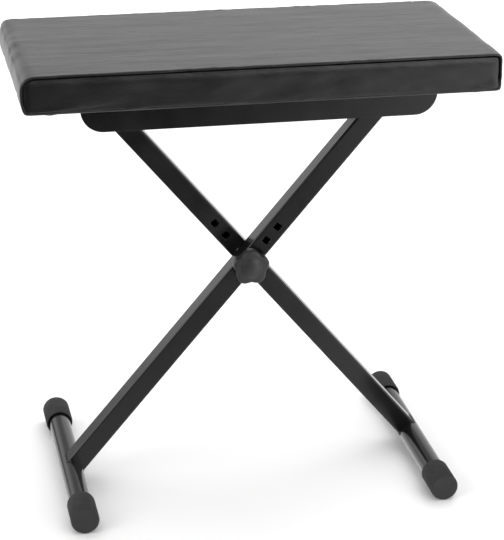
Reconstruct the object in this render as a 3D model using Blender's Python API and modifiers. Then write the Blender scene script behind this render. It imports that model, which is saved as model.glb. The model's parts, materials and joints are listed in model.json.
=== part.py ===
"""Folding piano bench: a padded seat on a sheet-steel tray, carried by two box-tube legs that
cross in an X and are clamped together by a bolt and a star knob, on two capped foot tubes.

Metres, +Z up. X runs along the seat, +Y to its back. The origin is on the floor under the
middle of the seat. The bench stands at its highest setting. Seat, legs and clamp bolt make a
closed loop, which is opened at the bolt: it is cut in the plane between the legs, and each leg
keeps its own half.
"""

import math

import bmesh
import bpy
from mathutils import Euler, Matrix

PART_NAME = "piano_bench"

# Every face that meets another piece keeps this gap to it.
GAP = 0.0003
STEPS_LARGE = 32
STEPS_SMALL = 20
STEPS_DOME = 6

# Seat
SEAT_WIDTH = 0.580
SEAT_DEPTH = 0.266
SEAT_TOP = 0.590
SEAT_THICKNESS = 0.048
SEAT_CORNER_RADIUS = 0.012
SEAT_EDGE_RADIUS = 0.006
COVER_THICKNESS = 0.0012
COVER_LIP = 0.040
BOARD_THICKNESS = 0.012

# Tray under the seat
TRAY_LENGTH = 0.440
TRAY_WIDTH = 0.200
TRAY_DEPTH = 0.036
TRAY_SHEET = 0.002
TRAY_BEND_RADIUS = 0.004
TRAY_CORNER_RADIUS = 0.028
SCREW_INSET_X = 0.095
SCREW_INSET_Y = 0.030

# Tray screws and the T-nuts in the board
SCREW_DIAMETER = 0.006
SCREW_HEAD_DIAMETER = 0.012
SCREW_HEAD_HEIGHT = 0.0035
SCREW_SOCKET = 0.004
SCREW_SOCKET_DEPTH = 0.002
SCREW_POINT_BELOW_BOARD_TOP = 0.001
T_NUT_WALL = 0.0012
T_NUT_FLANGE_DIAMETER = 0.018
T_NUT_FLANGE_THICKNESS = 0.0012
T_NUT_BARREL = 0.008

# Legs: box tube, the front leg from upper right to lower left, the rear leg behind it
LEG_FACE = 0.026
LEG_SIDE = 0.025
LEG_WALL = 0.0015
LEG_CORNER_RADIUS = 0.002
LEG_SPACING = 0.002
LEG_TOP_OVERHANG = 0.010
HEIGHT_SETTINGS = 3
HEIGHT_STEP = 0.058
SQUARE_HOLE = 0.009

# Top pivots
PIVOT_INSET = 0.033
SWING_CLEARANCE = 0.0025
BRACKET_SHEET = 0.002
BRACKET_BEND_RADIUS = 0.003
BRACKET_LENGTH = 0.030
EAR_BELOW_PIVOT = 0.012
PIVOT_DIAMETER = 0.008
PIVOT_HEAD_FLATS = 0.013
PIVOT_HEAD_HEIGHT = 0.0053
PIVOT_NUT_HEIGHT = 0.008
PIVOT_THREAD_PAST_NUT = 0.002
PIVOT_WASHER_DIAMETER = 0.018
PIVOT_WASHER_THICKNESS = 0.001

# Feet
FOOT_SPACING = 0.4676
FOOT_LENGTH = 0.328
FOOT_TUBE_DIAMETER = 0.0286
FOOT_TUBE_WALL = 0.0015
CAP_WALL = 0.0034
CAP_LENGTH = 0.048
CAP_END_THICKNESS = 0.006
CAP_EDGE_RADIUS = 0.003

# Clamp at the crossing of the legs
CLAMP_DIAMETER = 0.008
CLAMP_HEAD_DIAMETER = 0.020
CLAMP_HEAD_HEIGHT = 0.005
SPACER_DIAMETER = 0.024
CLAMP_WASHER_DIAMETER = 0.022
CLAMP_WASHER_THICKNESS = 0.0016
KNOB_LOBES = 5
POINTS_PER_LOBE = 10
KNOB_DIAMETER = 0.048
KNOB_WAIST_DIAMETER = 0.0396
KNOB_LOBE_POWER = 0.8
KNOB_GRIP_HEIGHT = 0.013
KNOB_EDGE_RADIUS = 0.003
KNOB_BOSS_DIAMETER = 0.022
KNOB_BOSS_HEIGHT = 0.008
KNOB_HUB_DIAMETER = 0.023
KNOB_HUB_HEIGHT = 0.004
INSERT_WALL = 0.002
INSERT_LENGTH = 0.014
CLAMP_THREAD_END_GAP = 0.001

# Heights, from the seat down
seat_bottom = SEAT_TOP - SEAT_THICKNESS
board_bottom = seat_bottom + COVER_THICKNESS + GAP
board_top = board_bottom + BOARD_THICKNESS
foam_bottom = board_top + GAP
foam_top = SEAT_TOP - COVER_THICKNESS - GAP
tray_top = seat_bottom - GAP
plate_bottom = tray_top - TRAY_SHEET
bracket_top = plate_bottom - GAP
leg_top_reach = math.hypot(LEG_TOP_OVERHANG, LEG_FACE / 2)

# The leg triangle: a pivot above, the foot tube below, and the crossing between them
pivot_x = TRAY_LENGTH / 2 - PIVOT_INSET
pivot_z = bracket_top - BRACKET_SHEET - SWING_CLEARANCE - leg_top_reach
cap_diameter = FOOT_TUBE_DIAMETER + 2 * (GAP + CAP_WALL)
foot_z = cap_diameter / 2
leg_rise = pivot_z - foot_z
leg_length = math.hypot(pivot_x + FOOT_SPACING / 2, leg_rise)
leg_slope = math.asin(leg_rise / leg_length)

# Across the bench, along Y
leg_gap_half = LEG_SPACING / 2
leg_middle = leg_gap_half + LEG_SIDE / 2
leg_outside = leg_gap_half + LEG_SIDE
bracket_inside = LEG_SIDE + 2 * (PIVOT_WASHER_THICKNESS + 2 * GAP)
bracket_width = bracket_inside + 2 * BRACKET_SHEET

made_in = bpy.data.collections.new(PART_NAME)
cutters_in = bpy.data.collections.new(PART_NAME + "_cutters")


def clear_scene():
    for obj in list(bpy.data.objects):
        bpy.data.objects.remove(obj, do_unlink=True)
    for collection in (made_in, cutters_in):
        bpy.context.scene.collection.children.link(collection)


def material(name, colour, roughness, metallic=0.0):
    made = bpy.data.materials.new(name)
    made.use_nodes = True
    shader = made.node_tree.nodes["Principled BSDF"]
    shader.inputs["Base Color"].default_value = (*colour, 1.0)
    shader.inputs["Roughness"].default_value = roughness
    shader.inputs["Metallic"].default_value = metallic
    made.diffuse_color = (*colour, 1.0)
    return made


def from_bmesh(name, bm, at=(0.0, 0.0, 0.0), collection=None):
    bmesh.ops.recalc_face_normals(bm, faces=bm.faces)
    mesh = bpy.data.meshes.new(name)
    bm.to_mesh(mesh)
    bm.free()
    obj = bpy.data.objects.new(name, mesh)
    obj.location = at
    (collection or made_in).objects.link(obj)
    return obj


def block(name, size, at=(0.0, 0.0, 0.0), rounds=(), collection=None):
    """A box of this size about at. Each of rounds is (test of an edge, radius, segments)."""
    bm = bmesh.new()
    bmesh.ops.create_cube(bm, size=1.0)
    bmesh.ops.scale(bm, vec=size, verts=bm.verts)
    for chosen, radius, segments in rounds:
        bm.normal_update()
        edges = [edge for edge in bm.edges if chosen(edge)]
        bmesh.ops.bevel(
            bm, geom=edges, offset=radius, segments=segments, profile=0.5, affect="EDGES"
        )
    return from_bmesh(name, bm, at, collection)


def direction(edge):
    return (edge.verts[1].co - edge.verts[0].co).normalized()


def runs_along(axis):
    return lambda edge: abs(direction(edge)[axis]) > 0.99


def rim(height):
    """Edges that lie at this height."""
    return lambda edge: all(abs(vert.co.z - height) < 1e-6 for vert in edge.verts)


def lower_and_along_y(edge):
    return runs_along(1)(edge) and edge.verts[0].co.z < 0


def arc(centre, radius, start, end, segments):
    """Points of an arc, with its angles in degrees."""
    turns = [math.radians(start + (end - start) * i / segments) for i in range(segments + 1)]
    return [(centre[0] + radius * math.cos(t), centre[1] + radius * math.sin(t)) for t in turns]


def dome(radius, rise, base):
    """Points of a domed top, from its middle out and down to its rim at base."""
    turns = [math.pi / 2 * i / STEPS_DOME for i in range(STEPS_DOME + 1)]
    return [(radius * math.sin(t), base + rise * math.cos(t)) for t in turns]


def turned(name, outline, steps=STEPS_SMALL, closed=False, collection=None):
    """A profile of (radius, height) points, running down its outer side, turned about Z."""
    bm = bmesh.new()
    verts = [bm.verts.new((radius, 0.0, height)) for radius, height in outline]
    for first, second in zip(verts, verts[1:]):
        bm.edges.new((first, second))
    if closed:
        bm.edges.new((verts[-1], verts[0]))
    mesh = bpy.data.meshes.new(name)
    bm.to_mesh(mesh)
    bm.free()
    obj = bpy.data.objects.new(name, mesh)
    (collection or made_in).objects.link(obj)
    screw = obj.modifiers.new("Turn", "SCREW")
    screw.steps = steps
    screw.render_steps = steps
    screw.use_merge_vertices = True
    screw.merge_threshold = 0.00001
    screw.use_normal_calculate = False
    return obj


def rod(name, radius, length, steps=STEPS_SMALL, collection=None):
    """A solid round bar about its middle."""
    half = length / 2
    return turned(
        name, [(0.0, half), (radius, half), (radius, -half), (0.0, -half)], steps,
        collection=collection,
    )


def ring(name, radius, bore_radius, length, steps=STEPS_SMALL):
    """A washer, bush or tube about its middle."""
    half = length / 2
    outline = [(radius, half), (radius, -half), (bore_radius, -half), (bore_radius, half)]
    return turned(name, outline, steps, closed=True)


def hexagon(name, flats, height, collection=None):
    """A hexagonal prism about its middle, measured across its flats."""
    bm = bmesh.new()
    radius = flats / math.sqrt(3)
    bmesh.ops.create_cone(
        bm, cap_ends=True, segments=6, radius1=radius, radius2=radius, depth=height
    )
    return from_bmesh(name, bm, collection=collection)


def place(obj, parent=None, at=(0.0, 0.0, 0.0), towards="+Z"):
    """Puts obj at a point of its parent and turns its own Z towards an axis.

    A piece that faces along Y stays level with the floor, though the leg it is on leans.
    """
    turns = {"+Z": 0.0, "+Y": -math.pi / 2, "-Y": math.pi / 2}
    facing = Euler((turns[towards], 0, 0)).to_matrix()
    if parent and towards != "+Z":
        facing = Matrix.Rotation(-parent.rotation_euler.y, 3, "Y") @ facing
    obj.parent = parent
    obj.location = at
    obj.rotation_euler = facing.to_euler()
    return obj


def hide(cutter):
    cutter.hide_render = True
    cutter.display_type = "WIRE"


def combine(obj, other, operation="DIFFERENCE"):
    boolean = obj.modifiers.new(operation.title(), "BOOLEAN")
    boolean.operation = operation
    boolean.solver = "EXACT"
    boolean.object = other
    hide(other)


def channel(name, length, width, depth, sheet, bend_radius, corner_radius):
    """Sheet bent into a channel that opens downwards, its top at the object's origin."""
    half = width / 2
    bend = half - bend_radius
    outline = [(half, -depth)] + arc((bend, -bend_radius), bend_radius, 0, 90, 4)
    outline += arc((-bend, -bend_radius), bend_radius, 90, 180, 4) + [(-half, -depth)]
    bm = bmesh.new()
    verts = [bm.verts.new((-length / 2, y, z)) for y, z in outline]
    edges = [bm.edges.new(pair) for pair in zip(verts, verts[1:])]
    far = bmesh.ops.extrude_edge_only(bm, edges=edges)["geom"]
    moved = [item for item in far if isinstance(item, bmesh.types.BMVert)]
    bmesh.ops.translate(bm, verts=moved, vec=(length, 0, 0))
    obj = from_bmesh(name, bm)
    top = max(obj.data.polygons, key=lambda face: face.center.z)
    if top.normal.z < 0:
        obj.data.flip_normals()
    solidify = obj.modifiers.new("Sheet", "SOLIDIFY")
    solidify.thickness = sheet
    solidify.offset = -1.0
    solidify.use_even_offset = True
    outline_block = block(
        name + "_outline",
        (length, width + depth, 2 * depth),
        rounds=[(lower_and_along_y, corner_radius, 8)],
        collection=cutters_in,
    )
    outline_block.parent = obj
    combine(obj, outline_block, "INTERSECT")
    return obj


def finish(obj, made_of):
    obj.data.materials.clear()
    obj.data.materials.append(made_of)
    obj.data.shade_smooth()
    obj.data.set_sharp_from_angle(angle=math.radians(35))
    return obj


def seat(vinyl, foam_white, plywood):
    middle = (SEAT_TOP + seat_bottom) / 2
    half = SEAT_THICKNESS / 2
    cover = block(
        "seat_cover",
        (SEAT_WIDTH, SEAT_DEPTH, SEAT_THICKNESS),
        (0, 0, middle),
        rounds=[
            (runs_along(2), SEAT_CORNER_RADIUS, 4),
            (rim(half), SEAT_EDGE_RADIUS, 3),
            (rim(-half), SEAT_EDGE_RADIUS, 2),
        ],
    )
    skin = cover.modifiers.new("Skin", "SOLIDIFY")
    skin.thickness = COVER_THICKNESS
    skin.offset = -1.0
    skin.use_even_offset = True
    open_under = block(
        "seat_cover_opening",
        (SEAT_WIDTH - 2 * COVER_LIP, SEAT_DEPTH - 2 * COVER_LIP, SEAT_THICKNESS),
        (0, 0, seat_bottom),
        rounds=[(runs_along(2), SEAT_CORNER_RADIUS, 4)],
        collection=cutters_in,
    )
    combine(cover, open_under)
    finish(cover, vinyl)

    inset = COVER_THICKNESS + GAP
    inner = (SEAT_WIDTH - 2 * inset, SEAT_DEPTH - 2 * inset)
    foam_height = foam_top - foam_bottom
    foam = block(
        "seat_foam",
        (*inner, foam_height),
        (0, 0, (foam_top + foam_bottom) / 2),
        rounds=[
            (runs_along(2), SEAT_CORNER_RADIUS - inset, 4),
            (rim(foam_height / 2), SEAT_EDGE_RADIUS - inset, 3),
        ],
    )
    finish(foam, foam_white)

    board = block(
        "seat_board",
        (*inner, BOARD_THICKNESS),
        (0, 0, (board_top + board_bottom) / 2),
        rounds=[
            (runs_along(2), SEAT_CORNER_RADIUS - inset, 4),
            (rim(-BOARD_THICKNESS / 2), SEAT_EDGE_RADIUS - inset, 2),
        ],
    )
    finish(board, plywood)
    return board


def tray_fixings(board, tray, zinc):
    """Four screws up through the tray into T-nuts that are sunk in the board."""
    barrel_radius = SCREW_DIAMETER / 2 + GAP + T_NUT_WALL
    flange_radius = T_NUT_FLANGE_DIAMETER / 2
    bore_radius = SCREW_DIAMETER / 2 + GAP
    flange_top = board_top
    flange_bottom = flange_top - T_NUT_FLANGE_THICKNESS
    screw_end = board_top - SCREW_POINT_BELOW_BOARD_TOP
    shank = screw_end - (plate_bottom - GAP)
    reach = TRAY_LENGTH / 2 - SCREW_INSET_X
    aside = TRAY_WIDTH / 2 - SCREW_INSET_Y
    places = [(x, y) for x in (-reach, reach) for y in (-aside, aside)]
    for number, (x, y) in enumerate(places, start=1):
        t_nut = turned(
            f"t_nut_{number}",
            [
                (flange_radius, 0.0),
                (flange_radius, flange_bottom - flange_top),
                (barrel_radius, flange_bottom - flange_top),
                (barrel_radius, -T_NUT_BARREL),
                (bore_radius, -T_NUT_BARREL),
                (bore_radius, 0.0),
            ],
            closed=True,
        )
        finish(place(t_nut, at=(x, y, flange_top)), zinc)
        sunk = turned(
            f"t_nut_hole_{number}",
            [
                (0.0, GAP + T_NUT_FLANGE_THICKNESS),
                (flange_radius + GAP, GAP + T_NUT_FLANGE_THICKNESS),
                (flange_radius + GAP, flange_bottom - flange_top - GAP),
                (barrel_radius + GAP, flange_bottom - flange_top - GAP),
                (barrel_radius + GAP, -2 * BOARD_THICKNESS),
                (0.0, -2 * BOARD_THICKNESS),
            ],
            collection=cutters_in,
        )
        place(sunk, at=(x, y, flange_top))
        combine(board, sunk)

        head = dome(SCREW_HEAD_DIAMETER / 2, SCREW_HEAD_HEIGHT, 0.0)
        screw = turned(
            f"tray_screw_{number}",
            [(0.0, shank), (SCREW_DIAMETER / 2, shank), (SCREW_DIAMETER / 2, 0.0)]
            + [(radius, -height) for radius, height in reversed(head)],
        )
        finish(place(screw, at=(x, y, plate_bottom - GAP)), zinc)
        socket = hexagon(
            f"tray_screw_socket_{number}", SCREW_SOCKET, 2 * SCREW_SOCKET_DEPTH, cutters_in
        )
        socket.parent = screw
        socket.location = (0, 0, -SCREW_HEAD_HEIGHT)
        combine(screw, socket)

        hole = rod(
            f"tray_screw_hole_{number}", bore_radius, 4 * TRAY_SHEET, collection=cutters_in
        )
        place(hole, at=(x, y, tray_top))
        combine(tray, hole)


def tray(black_steel):
    made = channel(
        "seat_tray", TRAY_LENGTH, TRAY_WIDTH, TRAY_DEPTH,
        TRAY_SHEET, TRAY_BEND_RADIUS, TRAY_CORNER_RADIUS,
    )
    made.location = (0, 0, tray_top)
    return finish(made, black_steel)


def pivot(side, x, middle_y, black_steel, zinc, nylon):
    """The bracket, bolt, lock nut and washers of one leg's top pivot."""
    depth = bracket_top - pivot_z + EAR_BELOW_PIVOT
    ear_radius = min(EAR_BELOW_PIVOT, BRACKET_LENGTH / 2)
    bracket = channel(
        f"pivot_bracket_{side}", BRACKET_LENGTH, bracket_width, depth,
        BRACKET_SHEET, BRACKET_BEND_RADIUS, ear_radius,
    )
    bracket.location = (x, middle_y, bracket_top)
    finish(bracket, black_steel)
    bore_radius = PIVOT_DIAMETER / 2 + GAP
    hole = rod(
        f"pivot_hole_{side}", bore_radius, 2 * bracket_width, collection=cutters_in
    )
    place(hole, at=(x, middle_y, pivot_z), towards="+Y")
    combine(bracket, hole)

    outward = -1 if middle_y < 0 else 1
    towards = "-Y" if outward < 0 else "+Y"
    ear = bracket_width / 2
    nut_end = GAP + PIVOT_NUT_HEIGHT + PIVOT_THREAD_PAST_NUT
    shank = 2 * ear + GAP + nut_end
    bolt = rod(f"pivot_bolt_{side}", PIVOT_DIAMETER / 2, shank + PIVOT_HEAD_HEIGHT / 2)
    shift = (nut_end - GAP - PIVOT_HEAD_HEIGHT / 2) / 2
    place(bolt, at=(x, middle_y + outward * shift, pivot_z), towards=towards)
    head = hexagon(
        f"pivot_head_{side}", PIVOT_HEAD_FLATS, PIVOT_HEAD_HEIGHT, cutters_in
    )
    head_y = middle_y - outward * (ear + GAP + PIVOT_HEAD_HEIGHT / 2)
    place(head, at=(x, head_y, pivot_z), towards=towards)
    combine(bolt, head, "UNION")
    finish(bolt, zinc)

    nut = hexagon(f"pivot_nut_{side}", PIVOT_HEAD_FLATS, PIVOT_NUT_HEIGHT)
    nut_y = middle_y + outward * (ear + GAP + PIVOT_NUT_HEIGHT / 2)
    place(nut, at=(x, nut_y, pivot_z), towards=towards)
    thread = rod(
        f"pivot_nut_bore_{side}", bore_radius, 2 * PIVOT_NUT_HEIGHT, collection=cutters_in
    )
    place(thread, at=(x, nut_y, pivot_z), towards=towards)
    combine(nut, thread)
    finish(nut, zinc)

    for end, sign in (("front", -1), ("rear", 1)):
        washer = ring(
            f"pivot_washer_{side}_{end}",
            PIVOT_WASHER_DIAMETER / 2, bore_radius, PIVOT_WASHER_THICKNESS,
        )
        washer_y = middle_y + sign * (LEG_SIDE / 2 + GAP + PIVOT_WASHER_THICKNESS / 2)
        place(washer, at=(x, washer_y, pivot_z), towards="+Y")
        finish(washer, nylon)


def hole_distances():
    """How far below the top pivot each square hole is: where the legs cross at each setting."""
    found = []
    for setting in range(HEIGHT_SETTINGS):
        rise = leg_rise - setting * HEIGHT_STEP
        found.append(pivot_x / math.cos(math.asin(rise / leg_length)))
    return found


def leg(name, side, x, middle_y, black_steel, rubber):
    """One leg on its pivot, with the foot tube and the two caps that it carries."""
    lean = math.copysign(math.pi / 2 - leg_slope, x)
    axis = bpy.data.objects.new(f"{name}_axis", None)
    made_in.objects.link(axis)
    axis.location = (x, 0, pivot_z)
    axis.rotation_euler = (0, lean, 0)

    length = LEG_TOP_OVERHANG + leg_length
    middle_z = LEG_TOP_OVERHANG - length / 2
    tube = block(
        name,
        (LEG_FACE, LEG_SIDE, length),
        rounds=[(runs_along(2), LEG_CORNER_RADIUS, 3)],
    )
    place(tube, axis, (0, middle_y, middle_z))
    hollow = block(
        f"{name}_hollow",
        (LEG_FACE - 2 * LEG_WALL, LEG_SIDE - 2 * LEG_WALL, 2 * length),
        collection=cutters_in,
    )
    place(hollow, axis, (0, middle_y, middle_z))
    combine(tube, hollow)
    cope = rod(
        f"{name}_cope", FOOT_TUBE_DIAMETER / 2 + GAP, 2 * LEG_FACE,
        STEPS_LARGE, collection=cutters_in,
    )
    place(cope, axis, (0, middle_y, -leg_length), "+Y")
    combine(tube, cope)
    below = block(
        f"{name}_below_cope",
        (2 * LEG_FACE, 2 * LEG_SIDE, 2 * FOOT_TUBE_DIAMETER),
        collection=cutters_in,
    )
    place(below, axis, (0, middle_y, -leg_length - FOOT_TUBE_DIAMETER))
    combine(tube, below)
    pivot_bore = rod(
        f"{name}_pivot_bore", PIVOT_DIAMETER / 2 + GAP, 2 * LEG_SIDE, collection=cutters_in
    )
    place(pivot_bore, axis, (0, middle_y, 0), "+Y")
    combine(tube, pivot_bore)
    for number, distance in enumerate(hole_distances(), start=1):
        square = block(
            f"{name}_square_{number}",
            (SQUARE_HOLE, 2 * LEG_SIDE, SQUARE_HOLE),
            collection=cutters_in,
        )
        place(square, axis, (0, middle_y, -distance))
        combine(tube, square)
    finish(tube, black_steel)

    tube_length = FOOT_LENGTH - 2 * (CAP_END_THICKNESS + GAP)
    foot = ring(
        f"foot_tube_{side}",
        FOOT_TUBE_DIAMETER / 2, FOOT_TUBE_DIAMETER / 2 - FOOT_TUBE_WALL,
        tube_length, STEPS_LARGE,
    )
    finish(place(foot, axis, (0, 0, -leg_length), "+Y"), black_steel)

    outer = cap_diameter / 2
    inner = FOOT_TUBE_DIAMETER / 2 + GAP
    for end, sign, towards in (("front", -1, "-Y"), ("rear", 1, "+Y")):
        edge_centre = (outer - CAP_EDGE_RADIUS, -CAP_EDGE_RADIUS)
        outline = [(0.0, 0.0)] + arc(edge_centre, CAP_EDGE_RADIUS, 90, 0, 4)
        outline += [
            (outer, -CAP_LENGTH),
            (inner, -CAP_LENGTH),
            (inner, -CAP_END_THICKNESS),
            (0.0, -CAP_END_THICKNESS),
        ]
        cap = turned(f"foot_cap_{side}_{end}", outline, STEPS_LARGE)
        place(cap, axis, (0, sign * FOOT_LENGTH / 2, -leg_length), towards)
        finish(cap, rubber)
    return axis


def clamp(front_axis, rear_axis, zinc, nylon, black_plastic, brass):
    """The bolt through both legs where they cross, its washers and its star knob."""
    down = -hole_distances()[0]
    bore_radius = CLAMP_DIAMETER / 2 + GAP

    spacer = ring(
        "leg_spacer_washer", SPACER_DIAMETER / 2, bore_radius, LEG_SPACING - 2 * GAP
    )
    finish(place(spacer, front_axis, (0, 0, down), "+Y"), nylon)

    washer_y = -(leg_outside + GAP + CLAMP_WASHER_THICKNESS / 2)
    washer = ring(
        "clamp_washer", CLAMP_WASHER_DIAMETER / 2, bore_radius, CLAMP_WASHER_THICKNESS
    )
    finish(place(washer, front_axis, (0, washer_y, down), "+Y"), zinc)

    head_base = leg_outside + GAP
    bolt_start = leg_gap_half + GAP
    bolt = turned(
        "clamp_bolt",
        dome(CLAMP_HEAD_DIAMETER / 2, CLAMP_HEAD_HEIGHT, head_base)
        + [
            (CLAMP_DIAMETER / 2, head_base),
            (CLAMP_DIAMETER / 2, bolt_start),
            (0.0, bolt_start),
        ],
    )
    place(bolt, rear_axis, (0, 0, down), "+Y")
    neck_width = SQUARE_HOLE - 2 * GAP
    neck_length = LEG_SIDE - LEG_WALL
    neck = block(
        "clamp_bolt_neck", (neck_width, neck_length, neck_width), collection=cutters_in
    )
    neck_y = head_base + GAP - neck_length / 2  # its end is sunk in the head
    place(neck, rear_axis, (0, neck_y, down))
    combine(bolt, neck, "UNION")
    finish(bolt, zinc)

    knob_base = leg_outside + 2 * GAP + CLAMP_WASHER_THICKNESS
    bore_end = knob_base + INSERT_LENGTH + 2 * GAP
    tip_end = bore_end - CLAMP_THREAD_END_GAP
    tip_start = GAP
    tip = rod("clamp_bolt_tip", CLAMP_DIAMETER / 2, tip_end - tip_start)
    place(tip, front_axis, (0, -(tip_start + tip_end) / 2, down), "+Y")
    finish(tip, zinc)

    insert = ring(
        "knob_insert", bore_radius + INSERT_WALL, bore_radius, INSERT_LENGTH
    )
    insert_y = -(knob_base + GAP + INSERT_LENGTH / 2)
    finish(place(insert, front_axis, (0, insert_y, down), "+Y"), brass)

    knob = star_knob()
    place(knob, front_axis, (0, -knob_base, down), "-Y")
    pocket = rod(
        "knob_pocket", bore_radius + INSERT_WALL + GAP, 2 * (INSERT_LENGTH + 2 * GAP),
        collection=cutters_in,
    )
    place(pocket, front_axis, (0, -knob_base, down), "-Y")
    combine(knob, pocket)
    finish(knob, black_plastic)


def star_knob():
    """Lobed grip on a round boss, with a domed hub, standing up from its base."""
    waist = KNOB_WAIST_DIAMETER / 2
    lobe = KNOB_DIAMETER / 2 - waist
    count = KNOB_LOBES * POINTS_PER_LOBE
    bm = bmesh.new()
    verts = []
    for i in range(count):
        angle = 2 * math.pi * i / count
        wave = 0.5 + 0.5 * math.cos(KNOB_LOBES * (angle - math.pi / 2))
        swell = wave**KNOB_LOBE_POWER
        radius = waist + lobe * swell
        verts.append(bm.verts.new((radius * math.cos(angle), radius * math.sin(angle), 0)))
    flat = bm.faces.new(verts)
    raised = bmesh.ops.extrude_face_region(bm, geom=[flat])["geom"]
    moved = [item for item in raised if isinstance(item, bmesh.types.BMVert)]
    bmesh.ops.translate(bm, verts=moved, vec=(0, 0, KNOB_GRIP_HEIGHT))
    bmesh.ops.translate(bm, verts=bm.verts, vec=(0, 0, KNOB_BOSS_HEIGHT))
    grip = from_bmesh("star_knob", bm)
    bevel = grip.modifiers.new("Rounded", "BEVEL")
    bevel.width = KNOB_EDGE_RADIUS
    bevel.segments = 2
    bevel.limit_method = "ANGLE"
    bevel.angle_limit = math.radians(60)

    top = KNOB_BOSS_HEIGHT + KNOB_GRIP_HEIGHT
    hub_radius = KNOB_HUB_DIAMETER / 2
    boss_radius = KNOB_BOSS_DIAMETER / 2
    hub = turned(
        "knob_hub",
        dome(hub_radius, KNOB_HUB_HEIGHT, top)
        + [
            (hub_radius, top - KNOB_GRIP_HEIGHT / 2),
            (boss_radius, top - KNOB_GRIP_HEIGHT / 2),
            (boss_radius, 0.0),
            (0.0, 0.0),
        ],
        STEPS_LARGE,
        collection=cutters_in,
    )
    hub.parent = grip
    combine(grip, hub, "UNION")
    return grip


def main():
    clear_scene()
    black_steel = material("black_powder_coat", (0.022, 0.022, 0.023), 0.45)
    zinc = material("zinc_plated_steel", (0.55, 0.55, 0.57), 0.35, 1.0)
    brass = material("brass", (0.62, 0.45, 0.18), 0.35, 1.0)
    nylon = material("white_nylon", (0.72, 0.71, 0.67), 0.5)
    rubber = material("black_rubber", (0.045, 0.045, 0.046), 0.8)
    black_plastic = material("black_moulded_nylon", (0.045, 0.045, 0.047), 0.5)
    vinyl = material("black_vinyl", (0.03, 0.03, 0.03), 0.42)
    foam_white = material("polyurethane_foam", (0.75, 0.72, 0.62), 0.95)
    plywood = material("plywood", (0.48, 0.33, 0.19), 0.75)

    board = seat(vinyl, foam_white, plywood)
    tray_fixings(board, tray(black_steel), zinc)
    pivot("right", pivot_x, -leg_middle, black_steel, zinc, nylon)
    pivot("left", -pivot_x, leg_middle, black_steel, zinc, nylon)
    front_axis = leg("leg_front", "left", pivot_x, -leg_middle, black_steel, rubber)
    rear_axis = leg("leg_rear", "right", -pivot_x, leg_middle, black_steel, rubber)
    clamp(front_axis, rear_axis, zinc, nylon, black_plastic, brass)


main()
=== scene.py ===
"""A folding keyboard bench: a padded vinyl seat on a pressed steel tray, crossed box-tube legs held by a
star knob, and foot tubes with ribbed rubber caps. Lengths are in metres, X runs along the seat, Y to its
back and Z up."""

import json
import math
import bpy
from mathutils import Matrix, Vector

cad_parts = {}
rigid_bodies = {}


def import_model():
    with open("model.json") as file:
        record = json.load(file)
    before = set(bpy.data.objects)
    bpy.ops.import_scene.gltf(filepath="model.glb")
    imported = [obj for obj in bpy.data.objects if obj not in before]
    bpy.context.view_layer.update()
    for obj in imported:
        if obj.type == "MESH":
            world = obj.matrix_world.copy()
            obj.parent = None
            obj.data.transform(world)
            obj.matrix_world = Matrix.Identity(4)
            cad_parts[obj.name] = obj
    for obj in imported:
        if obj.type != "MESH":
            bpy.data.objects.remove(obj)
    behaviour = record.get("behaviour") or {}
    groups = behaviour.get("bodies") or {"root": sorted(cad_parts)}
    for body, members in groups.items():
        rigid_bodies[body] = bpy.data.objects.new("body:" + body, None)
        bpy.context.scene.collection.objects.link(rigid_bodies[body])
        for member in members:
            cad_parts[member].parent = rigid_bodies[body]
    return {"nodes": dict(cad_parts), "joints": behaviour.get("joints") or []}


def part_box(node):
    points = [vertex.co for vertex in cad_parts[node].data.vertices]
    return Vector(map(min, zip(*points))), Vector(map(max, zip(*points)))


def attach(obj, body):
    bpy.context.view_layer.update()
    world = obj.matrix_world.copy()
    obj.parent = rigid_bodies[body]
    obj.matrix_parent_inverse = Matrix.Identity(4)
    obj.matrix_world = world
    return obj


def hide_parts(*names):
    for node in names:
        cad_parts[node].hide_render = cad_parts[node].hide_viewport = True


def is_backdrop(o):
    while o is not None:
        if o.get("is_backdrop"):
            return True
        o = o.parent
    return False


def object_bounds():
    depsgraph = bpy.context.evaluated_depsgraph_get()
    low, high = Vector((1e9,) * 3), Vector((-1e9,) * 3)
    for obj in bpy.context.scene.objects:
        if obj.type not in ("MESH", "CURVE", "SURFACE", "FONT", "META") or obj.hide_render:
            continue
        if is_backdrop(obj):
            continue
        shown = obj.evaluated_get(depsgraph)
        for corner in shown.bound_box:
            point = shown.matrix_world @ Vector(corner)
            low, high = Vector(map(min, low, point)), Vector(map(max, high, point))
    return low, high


bl_info = {
    "name": "Folding Piano Bench",
    "version": (1, 0, 0),
    "blender": (4, 5, 0),
    "location": "3D View > Sidebar > Bench",
    "description": "Upholstery, powder-coated steelwork, rubber feet and hardware of a folding bench",
    "category": "Object",
}

import bmesh
import bpy
import numpy as np
from bpy.props import FloatProperty, FloatVectorProperty, IntProperty, PointerProperty
from mathutils import Matrix, Vector, noise

for left_over in list(bpy.data.objects):
    bpy.data.objects.remove(left_over)
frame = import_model()
cad_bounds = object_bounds()

MM = 0.001
UP = Vector((0, 0, 1))
BACK = Vector((0, 1, 0))
JOINT_AT = {joint["name"]: Vector(joint["pos_m"]) for joint in frame["joints"] if "pos_m" in joint}


def srgb(hex_colour):
    """An sRGB hex colour, such as "#1c1c1c", as linear red, green, blue and alpha."""
    channels = [int(hex_colour[i : i + 2], 16) / 255 for i in (1, 3, 5)]
    linear = [c / 12.92 if c <= 0.04045 else ((c + 0.055) / 1.055) ** 2.4 for c in channels]
    return (*linear, 1.0)


def node_box(name):
    """Lowest corner, highest corner and middle of a CAD node."""
    low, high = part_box(name)
    return low, high, (low + high) / 2


def put(thing, **values):
    """Sets several attributes of one thing."""
    for name, value in values.items():
        setattr(thing, name, value)
    return thing


def clamped(value):
    return min(max(value, 0), 1)


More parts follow.
